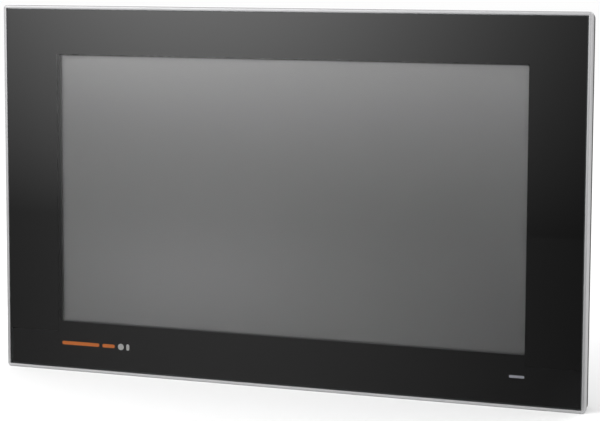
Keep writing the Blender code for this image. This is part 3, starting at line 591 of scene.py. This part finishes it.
# %% The aluminium rim
BEZEL_W, BEZEL_H, RIM, BEZEL_REAR, LEDGE_FRONT = 431.0, 266.2, 2.25, 2.5, 7.0
LIP_HIGH, LIP_SEAT = 4.2, 0.35
RIM_CORNER, BEAD_CORNER = 2.5, 2.4
rim_section = [(LIP_SEAT, BEZEL_REAR), (LIP_SEAT, LIP_HIGH + 0.05), (0.1, LIP_HIGH + 0.1),
               (0.0, LIP_HIGH + 0.2), (0.0, 10.30), (0.07, 10.48), (0.52, 10.93), (0.70, 11.0),
               (2.08, 11.0), (2.20, 10.96), (RIM, 10.84), (RIM, BEZEL_REAR)]
rim = run_section("bezel_rim", rim_section, BEZEL_W, BEZEL_H, RIM_CORNER, ALUMINIUM)
print("rim, in mm:", [round(side / MM, 1) for side in rim.dimensions])
settle(rim, "bezel_aluminium", "bezel_frame")

# %% The ledge behind the glass
def ledge():
    """The flat step that the glass is bonded to, milled in one with the rim."""
    inner_w, inner_h, edge = 399.0, 234.0, 0.2
    outer = rounded(BEZEL_W - 2 * RIM, BEZEL_H - 2 * RIM, 0.6)
    wide = rounded(inner_w, inner_h, 4.0)
    narrow = rounded(inner_w - 2 * edge, inner_h - 2 * edge, 4.0 - edge)
    bm = bmesh.new()
    loft(bm, [outer, outer, wide, narrow, narrow, wide],
         [-BEZEL_REAR, -LEDGE_FRONT, -LEDGE_FRONT, edge - LEDGE_FRONT, -BEZEL_REAR - edge, -BEZEL_REAR],
         closed=True)
    return piece("bezel_ledge", bm, DRAWN_ALUMINIUM)


settle(ledge(), "bezel_aluminium", "bezel_frame")

# %% The gasket
GASKET_INSET, GASKET_W = 0.25, 4.2
bead_section = [(-0.20, 0.20), (-0.20, LIP_HIGH - 0.15), (-0.10, LIP_HIGH), (0.0, LIP_HIGH), (0.05, 2.45),
                (3.95, 2.45), (GASKET_W, 2.20), (GASKET_W, 0.25), (3.95, 0.0), (2.9, 0.0), (2.6, 0.35),
                (1.6, 0.35), (1.3, 0.0), (0.0, 0.0)]
middle = [(inward - GASKET_W / 2, height) for inward, height in bead_section]
inset = 2 * GASKET_INSET + GASKET_W
gasket = run_section("gasket_bead", middle, BEZEL_W - inset, BEZEL_H - inset, BEAD_CORNER, RUBBER)
settle(gasket, "gasket_rubber", "panel_gasket")

# %% [markdown]
# ## The glass
# The front glass is 2.9 mm thick with a narrow polished chamfer, and a shadow gap of 0.4 mm keeps it
# off the rim. Only its front face reflects: the back is bonded to the print, so no second reflection
# appears there, and the edge is ground and slightly dull.

# %% Front glass
GLASS_W, GLASS_H, GLASS_FRONT, GLASS_REAR = 425.7, 260.9, -10.85, -7.95


def front_glass():
    chamfer = 0.22
    full = rounded(GLASS_W, GLASS_H, 1.0)
    flat = rounded(GLASS_W - 2 * chamfer, GLASS_H - 2 * chamfer, 0.8)
    bm = bmesh.new()
    loft(bm, [flat, full, full, flat],
         [GLASS_FRONT, GLASS_FRONT + chamfer, GLASS_REAR - chamfer, GLASS_REAR], finish=1)
    bm.normal_update()
    for face in bm.faces:
        if abs(face.normal.y) > 0.9:
            face.material_index = 0 if face.normal.y < 0 else 2
    return piece("front_glass", bm, FRONT_GLASS, GROUND_EDGE, BONDED_SIDE)


settle(front_glass(), "cover_glass", "cover_glass")

# %% [markdown]
# ## A printed mark and the status light
# Panels of this kind carry a small coloured mark under the display. This one is a plain row of bars
# that stands for nobody. It is printed on the glass, so it lies a hair in front of the black ink. The
# status light is a frosted bar that shows through a slot in the print.

# %% Printed mark
def printed_mark():
    bm = bmesh.new()
    level, thin, tall = -113.0, 2.6, 4.6
    bars = [(-171.9, 30.0, thin, 0), (-139.4, 10.0, thin, 0), (-126.9, tall, tall, 1), (-120.3, 2.4, tall, 1)]
    for start, length, height, finish in bars:
        centre = (start + length / 2, level)
        outline = rounded(length, height, min(length, height) / 2 - 0.05, centre, steps=8)
        loft(bm, [outline, outline], [GLASS_REAR + 0.01, GLASS_REAR + 0.04], finish=finish)
    return piece("printed_mark", bm, ORANGE_PRINT, PALE_PRINT)


settle(printed_mark(), "black_ink")

# %% [markdown]
# ## Softening folded and moulded parts
# The housing, its cover, the brackets and the sockets are already the right shape in the skeleton, but
# their edges are as sharp as paper. A copy of each is merged, its flat faces are joined again, and a
# narrow Bevel rounds every edge that turns by more than 30 degrees.

# %% Soften a copy of a CAD node
def applied(obj):
    """The object with the result of its modifiers as its mesh."""
    result = obj.evaluated_get(bpy.context.evaluated_depsgraph_get())
    obj.data = bpy.data.meshes.new_from_object(result)
    obj.modifiers.clear()
    return obj


def softened(node, finish, width_mm):
    bm = bmesh.new()
    bm.from_mesh(nodes[node].data)
    bmesh.ops.remove_doubles(bm, verts=bm.verts, dist=0.002 * MM)
    bmesh.ops.dissolve_limit(bm, angle_limit=math.radians(0.5), verts=bm.verts, edges=bm.edges)
    obj = piece(node + "_soft", bm, finish)
    bevel = obj.modifiers.new("soft edges", "BEVEL")
    bevel.width = width_mm * MM
    bevel.segments = 2
    bevel.limit_method = "ANGLE"
    bevel.angle_limit = math.radians(30)
    bevel.use_clamp_overlap = True
    smoothed(applied(obj).data, sharp=20.0)
    return obj


SOFT_PARTS = {
    "rear_housing": (COAT, 0.35, "housing_coat"), "rear_cover": (COAT, 0.25, "housing_coat"),
    "ethernet_port_1": (SHEET, 0.12, "plated_sheet"), "ethernet_port_2": (SHEET, 0.12, "plated_sheet"),
    "usb_ports": (SHEET, 0.10, "plated_sheet"), "power_header": (GREEN_PLASTIC, 0.15, "terminal_green"),
    "memory_card_socket": (SHEET, 0.10, "plated_sheet"),
    "battery_cup": (BLACK_PLASTIC, 0.15, "black_plastic"),
    "heat_spreader": (DRAWN_ALUMINIUM, 0.15, "heat_aluminium"),
}
for node, (finish, width, slot) in SOFT_PARTS.items():
    settle(softened(node, finish, width), slot, node)

# %% The moving parts and the clamp brackets, softened in the same way
MOVING = {"service_door": (BLACK_PLASTIC, 0.20, "black_plastic"),
          "power_plug": (GREEN_PLASTIC, 0.20, "terminal_green"),
          "memory_card": (BLACK_PLASTIC, 0.18, "black_plastic")}
for node, (finish, width, slot) in MOVING.items():
    settle(softened(node, finish, width), slot, node, body=node)
CLAMPS = [f"{row}_{number}" for row in ("top", "bottom") for number in (1, 2, 3)]
for clamp in CLAMPS:
    node = f"clamp_bracket_{clamp}"
    settle(softened(node, SHEET, 0.15), "plated_sheet", node)

# %% [markdown]
# ## Things that repeat
# Screws, contacts, chips and ribs are one small part set down many times. A tree takes the spots as a
# mesh of loose points and the part as an object, puts a copy on each point, and can give each copy a
# random turn, because no two screws stop at the same angle.

# %% A tree that sets a part on every point
def repeat_tree():
    graph, given = new_tree("set a part on every point", Part="Object", Turn="Float", Seed="Int",
                            Finish="Material")
    part = graph.node("GeometryNodeObjectInfo", {"Object": given["Part"], "As Instance": True})
    inputs = {2: 0.0, 3: given["Turn"], "Seed": given["Seed"]}
    angle = graph.node("FunctionNodeRandomValue", inputs, data_type="FLOAT").out(1)
    spin = graph.node("ShaderNodeCombineXYZ", {1: angle})
    inputs = {"Points": given["Geometry"], "Instance": part.out("Geometry"), "Rotation": spin}
    copies = graph.node("GeometryNodeInstanceOnPoints", inputs)
    return close_tree(graph, copies, given["Finish"])


REPEAT_TREE = repeat_tree()


def repeated(name, part, spots, turn=0.0, seed=1):
    """One mesh with a copy of the part at each spot, given in millimetres."""
    start = empty_mesh()
    start.data.from_pydata([Vector(spot) * MM for spot in spots], [], [])
    values = {"Part": part, "Turn": turn, "Seed": seed, "Finish": part.data.materials[0]}
    print(f"{name}: {len(spots)} copies")
    return grown(name, start, REPEAT_TREE, values, [part])


# %% Screws with a cross recess
def cross_screw(head_r, head_high, shank_r, shank_long):
    """A pan-head screw along Y with its seat at 0 and a cross cut into the head."""
    bm = bmesh.new()
    shank = [(0, -shank_long), (shank_r * 0.75, -shank_long), (shank_r, -shank_long + 0.5), (shank_r, 0.0)]
    dome = [(1.0, 0.45), (0.92, 0.7), (0.72, 0.9), (0.5, 1.0), (0, 1.0)]
    head = [(head_r - 0.15, 0.0), (head_r, 0.15), *((head_r * r, head_high * h) for r, h in dome)]
    turned(bm, shank + head, sides=24)
    screw = piece("screw", bm, STEEL)
    bm = bmesh.new()
    arm, wide, deep = head_r * 0.55, head_r * 0.15, head_high * 0.55
    for wide_x, wide_z in ((arm, wide), (wide, arm)):
        low, high = (rounded(grow * wide_x, grow * wide_z, 0.05, steps=1) for grow in (1, 2))
        loft(bm, [low, high], [head_high - deep, head_high + 0.3])
    recess = piece("recess", bm, STEEL)
    cut = screw.modifiers.new("recess", "BOOLEAN")
    cut.operation, cut.solver, cut.object, cut.use_self = "DIFFERENCE", "EXACT", recess, True
    applied(screw)
    bpy.data.objects.remove(recess)
    return screw


def centre_of(node):
    low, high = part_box(node)
    return (low + high) / 2 / MM


TRAY_REAR, COVER_REAR = 17.2, 39.9
SCREWS = {"housing": (TRAY_REAR, (3.0, 2.0, 1.5, 22.0), 3), "cover": (COVER_REAR, (2.8, 1.8, 1.4, 6.0), 8)}
for holds, (seat, sizes, seed) in SCREWS.items():
    stands_for = [f"{holds}_screw_{i}" for i in range(1, 5)]
    spots = [(centre_of(node).x, seat, centre_of(node).z) for node in stands_for]
    screws = repeated(f"{holds}_screws", cross_screw(*sizes), spots, math.tau, seed)
    settle(screws, "screw_steel", *stands_for)

# %% [markdown]
# ## Threads
# A thread is a small ridge that follows a helix. Curve to Mesh draws it on a spiral whose height is the
# threaded length and whose turns are that length divided by the pitch. The bar inside it is turned.

# %% A tree that winds a thread
def thread_tree():
    graph, given = new_tree("wind a thread", Radius="Float", Pitch="Float", Length="Float",
                            Finish="Material")
    turns = given["Length"] / given["Pitch"]
    inputs = {"Resolution": 14, "Rotations": turns, "Start Radius": given["Radius"],
              "End Radius": given["Radius"], "Height": given["Length"]}
    helix = graph.node("GeometryNodeCurveSpiral", inputs)
    level = graph.node("GeometryNodeSetCurveNormal", {"Curve": helix}, mode="Z_UP")
    ridge = graph.node("GeometryNodeCurvePrimitiveCircle", {"Resolution": 4, "Radius": given["Pitch"] * 0.45})
    wound = graph.node("GeometryNodeCurveToMesh", {"Curve": level, "Profile Curve": ridge, "Fill Caps": True})
    laid = graph.node("GeometryNodeTransform", {"Geometry": wound, "Rotation": (math.radians(-90), 0, 0)})
    return close_tree(graph, laid, given["Finish"])


THREAD_TREE = thread_tree()


def moved(obj, x, y, z):
    """The object with its mesh shifted by so many millimetres."""
    obj.data.transform(Matrix.Translation(Vector((x, y, z)) * MM))
    return obj


def thread(radius, pitch, start, length):
    """A thread along +Y from a start, in millimetres, as an object that can be joined to its bar."""
    values = {"Radius": radius * MM, "Pitch": pitch * MM, "Length": length * MM, "Finish": STEEL.material}
    return moved(grown("thread", empty_mesh(), THREAD_TREE, values), 0, start, 0)


def joined(first, second):
    """One object from two, with the materials of both."""
    for polygon in second.data.polygons:
        polygon.material_index += len(first.data.materials)
    for material in second.data.materials:
        first.data.materials.append(material)
    bm = bmesh.new()
    bm.from_mesh(first.data)
    bm.from_mesh(second.data)
    bm.to_mesh(first.data)
    bm.free()
    bpy.data.objects.remove(second)
    return first


# %% Clamp screws and feet
def clamp_screw(name, x, z):
    """A 3 mm screw with a hexagon socket, its thread wound on the shank."""
    tip, head_seat, head_end, head_r = 8.95, 33.0, 35.4, 2.3
    bm = bmesh.new()
    shank = [(0, tip), (0.9, tip), (1.2, tip + 0.4), (1.2, head_seat), (head_r - 0.1, head_seat),
             (head_r, head_seat + 0.15), (head_r, head_end - 0.3), (head_r - 0.3, head_end), (1.4, head_end)]
    hexagon = [(0, head_seat + 0.9), (1.25, head_seat + 0.9), (1.25, head_end - 0.15), (1.3, head_end - 0.02)]
    turned(bm, shank, sides=24)
    turned(bm, hexagon, sides=6)
    return moved(joined(piece(name, bm, STEEL), thread(1.24, 0.5, tip + 0.5, 23.3)), x, 0, z)


def clamp_foot(name, x, z):
    """A moulded foot: a ribbed pad that presses on the door, and a collar for the screw's tip."""
    bm = bmesh.new()
    profile = [(0, 7.5), (1.7, 7.5), (1.95, 7.6), (2.15, 7.85), (2.15, 8.5), (1.95, 8.6), (1.95, 8.8),
               (2.15, 8.9), (2.15, 9.6), (2.0, 9.75), (2.0, 11.3), (1.9, 11.5), (1.6, 11.5), (1.6, 8.75),
               (0, 8.75)]
    turned(bm, profile, centre=(x, 0, z), sides=28)
    return piece(name, bm, BLACK_PLASTIC)


for clamp in CLAMPS:
    screw, foot = f"clamp_screw_{clamp}", f"clamp_foot_{clamp}"
    middle = centre_of(screw)
    settle(clamp_screw("threaded_" + screw, middle.x, middle.z), "screw_steel", screw, body=screw)
    settle(clamp_foot("ribbed_" + foot, middle.x, middle.z), "black_plastic", foot, body=foot)

# %% The earth stud
def earth_stud():
    """A pressed-in stud with a washer and a hexagon nut, drawn from its seat along Y."""
    bm = bmesh.new()
    turned(bm, [(0, 0.0), (4.8, 0.0), (5.0, 0.2), (5.0, 0.8), (4.8, 1.0), (0, 1.0)], sides=32)
    turned(bm, [(0, 1.0), (3.5, 1.0), (3.85, 1.3), (3.85, 3.9), (3.5, 4.2), (0, 4.2)], sides=6)
    turned(bm, [(0, 4.0), (1.6, 4.0), (1.6, 9.5), (1.3, 9.9), (0, 9.9)], sides=24)
    return joined(piece("threaded_earth_stud", bm, STEEL), thread(1.66, 0.7, 4.3, 5.2))


STUD_X, STUD_Z = -178.0, -92.0
settle(moved(earth_stud(), STUD_X, TRAY_REAR, STUD_Z), "screw_steel", "earth_stud")

# %% [markdown]
# ## Sockets
# What tells sockets apart is inside them: gold contacts in rows, the tongue of a serial bus socket, and
# the pins in a D-shaped shell. Each row is one contact set down with the repeating tree.

# %% Contacts in the network and serial bus sockets
PORT_BASE, PORT_MOUTH = 19.0, -71.0


def strip(wide, thick, long, finish):
    """A contact strip from 0 along Z, with its corners broken."""
    bm = bmesh.new()
    block(bm, (-wide / 2, wide / 2), (0.0, thick), (0.0, long), edge=min(wide, thick) * 0.2)
    return piece("strip", bm, finish)


network_x = [centre_of(f"ethernet_port_{i}").x for i in (1, 2)]
spots = [(x - 3.57 + 1.02 * i, PORT_BASE + 2.55, PORT_MOUTH + 1.5) for x in network_x for i in range(8)]
settle(repeated("network_contacts", strip(0.5, 0.35, 11.0, GOLD), spots), "plated_sheet")

bus_x, tongues = centre_of("usb_ports").x, (2.42, 10.02)
spots = [(bus_x - 3.75 + 2.5 * i, PORT_BASE + low, PORT_MOUTH + 2.0) for low in tongues for i in range(4)]
settle(repeated("serial_bus_contacts", strip(1.1, 0.12, 8.0, GOLD), spots), "plated_sheet")

# %% Link lights on the network sockets
def link_lights():
    bm = bmesh.new()
    for x in network_x:
        for side, finish in ((-1, 0), (1, 1)):
            middle = x + side * 5.0
            block(bm, (middle - 1.2, middle + 1.2), (PORT_BASE + 11.0, PORT_BASE + 12.4),
                  (PORT_MOUTH - 0.12, PORT_MOUTH + 2.0), edge=0.12, finish=finish)
    return piece("link_lights", bm, AMBER_FILM, GREEN_PLASTIC)


settle(link_lights(), "light_pipe")

# %% The nine-pin socket
SERIAL_X, SERIAL_Y = -84.0, PORT_BASE + 7.4


def d_outline(grow):
    """A D shape, wide at one side, with its corners rounded as curves between two points."""
    wide, narrow, deep, bend = 8.6 + grow, 7.4 + grow, 4.0 + grow, 1.4 + grow * 0.5
    corners = [Vector((wide, deep)), Vector((-wide, deep)), Vector((-narrow, -deep)), Vector((narrow, -deep))]
    points = []
    for i, corner in enumerate(corners):
        before, after = corners[i - 1], corners[(i + 1) % 4]
        start = corner + (before - corner).normalized() * bend
        end = corner + (after - corner).normalized() * bend
        for t in (0.0, 0.25, 0.5, 0.75, 1.0):
            point = start.lerp(corner, t).lerp(corner.lerp(end, t), t)
            points.append((SERIAL_X + point.x, SERIAL_Y + point.y))
    return points


def serial_shell():
    """A pressed D-shaped shell on a flange, with two threaded posts."""
    flange_x, flange_y, post = 15.4, 6.2, 12.5
    bm = bmesh.new()
    block(bm, (SERIAL_X - flange_x, SERIAL_X + flange_x), (SERIAL_Y - flange_y, SERIAL_Y + flange_y),
          (-68.3, -58.0), edge=0.3)
    wall = [(0.0, -68.0), (0.0, -75.8), (-0.1, -76.0), (-0.5, -76.0), (-0.5, -70.6), (0.0, -70.6)]
    loft(bm, [d_outline(grow) for grow, _ in wall], [depth for _, depth in wall], axis="Z")
    for x in (SERIAL_X - post, SERIAL_X + post):
        turned(bm, [(0, -72.0), (1.35, -72.0), (1.35, -75.4), (1.5, -75.5), (2.3, -75.5), (2.6, -75.2),
                    (2.6, -68.2), (0, -68.2)], centre=(x, SERIAL_Y, 0), axis="Z", sides=6)
    return piece("serial_shell", bm, SHEET)


def serial_pin():
    bm = bmesh.new()
    turned(bm, [(0, -4.6), (0.25, -4.5), (0.5, -4.1), (0.5, 0.4), (0, 0.4)], axis="Z", sides=12)
    return piece("pin", bm, GOLD)


settle(serial_shell(), "plated_sheet", "serial_port")
PITCH, ROW, ROOT = 2.77, 1.42, -70.8
spots = [(SERIAL_X + (i - 2) * PITCH, SERIAL_Y + ROW, ROOT) for i in range(5)]
spots += [(SERIAL_X + (i - 1.5) * PITCH, SERIAL_Y - ROW, ROOT) for i in range(4)]
settle(repeated("serial_pins", serial_pin(), spots), "plated_sheet")

# %% Screws of the plug-on terminal
def slotted_screw():
    """A small flat screw along Y with one slot, as a terminal block has."""
    bm = bmesh.new()
    angles = [math.radians(a) for a in range(-75, 76, 15)]
    for side in (-1, 1):
        arc, flat = ([(r * math.sin(a), side * r * math.cos(a)) for a in angles] for r in (1.45, 1.4065))
        loft(bm, [arc, arc, flat], [-0.6, 0.25, 0.35])
    turned(bm, rod(1.4, -0.5, 0.0), sides=20)
    return piece("slotted", bm, STEEL)


plug_low, plug_high = (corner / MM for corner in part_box("power_plug"))
plug_x = centre_of("power_plug").x
spots = [(plug_x + step, plug_high.y - 1.0, plug_low.z + 4.5) for step in (-4.9, 0, 4.9)]
terminal_screws = repeated("terminal_screws", slotted_screw(), spots, math.tau, 5)
settle(terminal_screws, "screw_steel", body="power_plug")

# %% Grip ribs and contacts of the memory card
card_low, card_high = (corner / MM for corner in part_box("memory_card"))
card_x = centre_of("memory_card").x
rib = strip(18.0, 0.18, 0.5, BLACK_PLASTIC)
spots = [(card_x, card_high.y - 0.04, card_low.z + 0.7 + 0.9 * i) for i in range(4)]
settle(repeated("card_grip", rib, spots), "black_plastic", body="memory_card")
contact = strip(1.6, 0.06, 4.0, GOLD)
spots = [(card_x - 8.0 + 2.5 * i, card_low.y - 0.03, card_high.z - 5.2) for i in range(8)]
settle(repeated("card_contacts", contact, spots), "screw_steel", body="memory_card")

# %% [markdown]
# ## The main board's parts
# Through the vents and the service opening one sees a crowded board. Square chips, round capacitors
# and a scatter of tiny chip resistors are enough. Their spots are drawn from a seeded generator, on
# the part of the board that nothing else uses.

# %% Chips, capacitors and small parts
def chip(width, height, thick):
    bm = bmesh.new()
    block(bm, (-width / 2, width / 2), (0.0, thick), (-height / 2, height / 2), edge=0.15)
    turned(bm, rod(0.5, thick - 0.05, thick + 0.03), centre=(1.4 - width / 2, 0, height / 2 - 1.4), sides=10)
    return piece("chip", bm, BLACK_PLASTIC)


def capacitor():
    """A can capacitor: a crimped foot, a rounded shoulder and a slightly sunk top."""
    bm = bmesh.new()
    block(bm, (-4.1, 4.1), (0.0, 1.2), (-4.1, 4.1), edge=0.2, radius=1.0)
    turned(bm, [(0, 1.1), (3.6, 1.1), (3.9, 1.5), (3.9, 2.1), (3.65, 2.4), (3.9, 2.8), (3.9, 9.2), (3.6, 9.7),
                (2.9, 9.7), (2.8, 9.5), (0, 9.5)], sides=20)
    return piece("can", bm, DRAWN_ALUMINIUM)


# Left, right, low and high of what already stands on the board: heat sink, battery, sockets, cable.
taken = [(-62.0, 22.0, 18.0, 94.0), (64.0, 96.0, -48.0, -18.0), (-142.0, 66.0, -70.0, -36.0),
         (-160.0, -114.0, 26.0, 62.0)]
BOARD_HALF, BOARD_LOW, BOARD_HIGH = 142, -62, 94


def free_spots(count, wide, high, seed):
    """Spots for parts of one size, each clear of everything that stands on the board so far."""
    pick = random.Random(seed)
    spots = []
    for _ in range(count * 80):
        x, z = pick.uniform(-BOARD_HALF, BOARD_HALF), pick.uniform(BOARD_LOW, BOARD_HIGH)
        reach_x, reach_z = wide / 2, high / 2
        clear = all(not (left - reach_x < x < right + reach_x and low - reach_z < z < top + reach_z)
                    for left, right, low, top in taken)
        if clear and len(spots) < count:
            taken.append((x - reach_x, x + reach_x, z - reach_z, z + reach_z))
            spots.append((x, PORT_BASE - 0.1, z))
    return spots


settle(repeated("memory_chips", chip(12.0, 9.0, 1.2), free_spots(10, 15.0, 12.0, 4)), "black_plastic")
settle(repeated("capacitors", capacitor(), free_spots(9, 10.0, 10.0, 11)), "heat_aluminium")
resistor = strip(1.6, 0.7, 0.8, BLACK_PLASTIC)
settle(repeated("chip_resistors", resistor, free_spots(140, 3.0, 2.2, 21)), "black_plastic")

# %% [markdown]
# ## A type plate
# Makers stick a metallised plate on the rear cover. This one carries no words: a frame and a few plain
# bars stand for the print. Plate and print are thin, so each is a flat outline with a little thickness.

# %% Type plate
def type_plate():
    left, right, low, high = -128.0, -62.0, -48.0, -8.0
    plate_face, ink_depths = COVER_REAR - 0.05, (COVER_REAR - 0.06, COVER_REAR - 0.01)
    width, height, middle = right - left, high - low, ((left + right) / 2, (low + high) / 2)
    bm = bmesh.new()
    outline = rounded(width, height, 2.0, middle)
    loft(bm, [outline, outline], [plate_face - 0.2, plate_face])
    outer, inner = (rounded(width - gap, height - gap, 1.4, middle) for gap in (2.4, 3.2))
    loft(bm, [outer, outer, inner, inner], [*ink_depths, *reversed(ink_depths)], closed=True, finish=1)
    for row, lengths in enumerate(((30.0, 12.0), (22.0, 9.0, 8.0), (14.0, 26.0), (34.0, 6.0), (18.0, 16.0))):
        start = right - 5.0
        for length in lengths:
            bar = rounded(length, 1.6, 0.5, (start - length / 2, high - 7.0 - 6.4 * row), steps=2)
            loft(bm, [bar, bar], ink_depths, finish=1)
            start -= length + 3.0
    return piece("type_plate", bm, DRAWN_ALUMINIUM, BLACK_PLASTIC)


settle(type_plate(), "bezel_aluminium")

# %% [markdown]
# ## Finishes for the pieces that stay as they are
# The skeleton's own mesh is good enough for plates, films and boards. Each still gets its finish, so
# every node is either replaced above or named here.

# %% Paint the remaining nodes
PLAIN = {
    "black_mask": INK, "display_cell": FILM, "display_backlight": SHEET, "display_front_frame": SHEET,
    "display_bracket_left": SHEET, "display_bracket_right": SHEET, "carrier_plate": SHEET,
    "display_cable": BLACK_PLASTIC, "glass_adhesive": FOAM, "status_light_pipe": LIGHT_PIPE,
    "status_light_board": BOARD, "main_board": BOARD, "touch_controller_board": BOARD,
    "touch_flex_tail": AMBER_FILM, "touch_sensor": BONDED_SIDE, "coin_battery": STEEL,
    "door_hinge_pin": STEEL,
}
for node, finish in PLAIN.items():
    nodes[node].data.materials.clear()
    nodes[node].data.materials.append(finish.material)
print("nodes that keep their own mesh:", len(PLAIN))

# %% [markdown]
# ## The studio
# A pale floor, a bright even sky and two large soft lamps give the flat, clean light of a catalogue.
# Glass shows its surroundings, so in a studio cards hang where it looks. Here two cards are seen
# by reflections alone: an upright one whose glow fades from the upper left, and one on the floor that
# keeps the lower right of the face black. Two more draw the side of the frame: a bright one puts a line
# on its chamfer, and a grey one behind it tones the flat side down. All turn clear towards their edges.

# %% Floor and sky
FLOOR_LEVEL, FLOOR_SIDE, FLOOR_ROUND = -133.1, 60000.0, 29000.0
scene = bpy.context.scene
scene.view_settings.view_transform = "Standard"


def floor():
    """A pale disc that is solid from above and clear from below, so that the sockets can be looked at."""
    finish = Finish("pale_floor", roughness=0.9, specular_ior_level=0.0)
    cloud = finish.noise(0.6, 2.0)
    finish.colour(cloud, rgb(0.93, 0.93, 0.93), rgb(0.95, 0.95, 0.95))
    below = finish.node("ShaderNodeNewGeometry").out("Backfacing")
    solid = Socket(finish, finish.shader.outputs[0])
    finish.shared(below, solid, finish.node("ShaderNodeBsdfTransparent"))
    bm = bmesh.new()
    outline = rounded(FLOOR_SIDE, FLOOR_SIDE, FLOOR_ROUND, steps=16)
    disc = bm.faces.new([bm.verts.new(Vector((x, y, FLOOR_LEVEL)) * MM) for x, y in outline])
    bm.normal_update()
    if disc.normal.z < 0:
        disc.normal_flip()
    return piece("floor", bm, finish)


floor()
world = bpy.data.worlds.new("even sky")
scene.world = world
world.use_nodes = True
sky = world.node_tree.nodes["Background"]
sky.inputs["Color"].default_value = rgb(1.0, 1.0, 1.0)
sky.inputs["Strength"].default_value = 1.05


# %% Soft lamps
def soft_lamp(name, place, wide, high, power):
    """A soft box that faces the middle of the object."""
    data = bpy.data.lights.new(name, "AREA")
    data.shape, data.size, data.size_y, data.energy = "RECTANGLE", wide, high, power
    lamp = placed(name, data)
    lamp.location = place
    lamp.rotation_euler = (-Vector(place)).to_track_quat("-Z", "Y").to_euler()
    print(name, "at", place, "m")


soft_lamp("key", (-0.75, -0.95, 0.95), 0.7, 0.5, 10.0)
soft_lamp("back", (1.2, 2.2, 1.6), 1.4, 1.0, 12.0)


# %% Cards that only reflections see
def mirror_card(name, corners, glow, cover):
    """A card that glows by one rule and covers what lies behind it by another, for reflections only."""
    finish = Finish(name)
    place = finish.axes()
    light = finish.node("ShaderNodeEmission", {"Strength": glow(*place)})
    finish.shared(cover(*place), finish.node("ShaderNodeBsdfTransparent"), light)
    bm = bmesh.new()
    bm.faces.new([bm.verts.new(corner) for corner in corners])
    card = piece(name, bm, finish)
    card.visible_camera = card.visible_diffuse = card.visible_shadow = False
    print(name, "hung for reflections")


FRONT, LOW, NEAR, LEFT, RIGHT = -0.8, -0.1315, -0.014, -1.3, 0.6


def standing(start, end, high):
    """The corners of a card that stands on the floor between two points."""
    return [(*start, LOW), (*end, LOW), (*end, high), (*start, high)]


mirror_card("upright_card", standing((LEFT, FRONT), (RIGHT, FRONT), 0.5),
            glow=lambda x, y, z: bell(x + 0.40, 0.235) * ((z - LOW) * 10.8 + 0.65) + 0.08,
            cover=lambda x, y, z: ramp(x, -1.2, -0.75) * ramp(x, 0.5, 0.12) * ramp(z, 0.45, 0.15))
mirror_card("floor_card", [(LEFT, NEAR, LOW), (RIGHT, NEAR, LOW), (RIGHT, FRONT, LOW), (LEFT, FRONT, LOW)],
            glow=lambda x, y, z: bell(x - y * 0.42 + 0.05, y * -0.12 + 0.16) * (y * -0.15 + 0.50) + 0.08,
            cover=lambda x, y, z: ramp(x, -1.2, -0.75) * ramp(x, 0.5, 0.18))
mirror_card("chamfer_card", standing((1.4, -1.2), (1.4, 0.6), 0.9), glow=lambda x, y, z: 1.7,
            cover=lambda x, y, z: ramp(y, -1.2, -0.7) * ramp(y, 0.6, 0.3) * ramp(z, 0.9, 0.6))
mirror_card("side_card", standing((0.22, 1.0), (1.3, 1.0), 0.6), glow=lambda x, y, z: 0.62,
            cover=lambda x, y, z: ramp(x, 0.22, 0.3) * ramp(x, 1.3, 0.9) * ramp(z, 0.6, 0.4))

# %% [markdown]
# ## The camera
# The camera stands to the operator's right and a little above, with a long lens. A small shift keeps
# upright edges nearly parallel.

# %% Camera
LENS, SHIFT = 112.913, -0.08
PLACE = Vector((454.98, -1226.23, 161.21)) * MM
YAW, TILT, ROLL = math.radians(19.94), math.radians(-5.922), math.radians(0.2134)
camera_data = bpy.data.cameras.new("camera")
camera_data.lens, camera_data.shift_y, camera_data.sensor_width = LENS, SHIFT, 36.0
camera = placed("camera", camera_data)
camera.matrix_world = (Matrix.Translation(PLACE) @ Matrix.Rotation(YAW, 4, "Z")
                       @ Matrix.Rotation(math.pi / 2 + TILT, 4, "X") @ Matrix.Rotation(ROLL, 4, "Z"))
scene.camera = camera
print("camera at", [round(c, 3) for c in PLACE], "m")
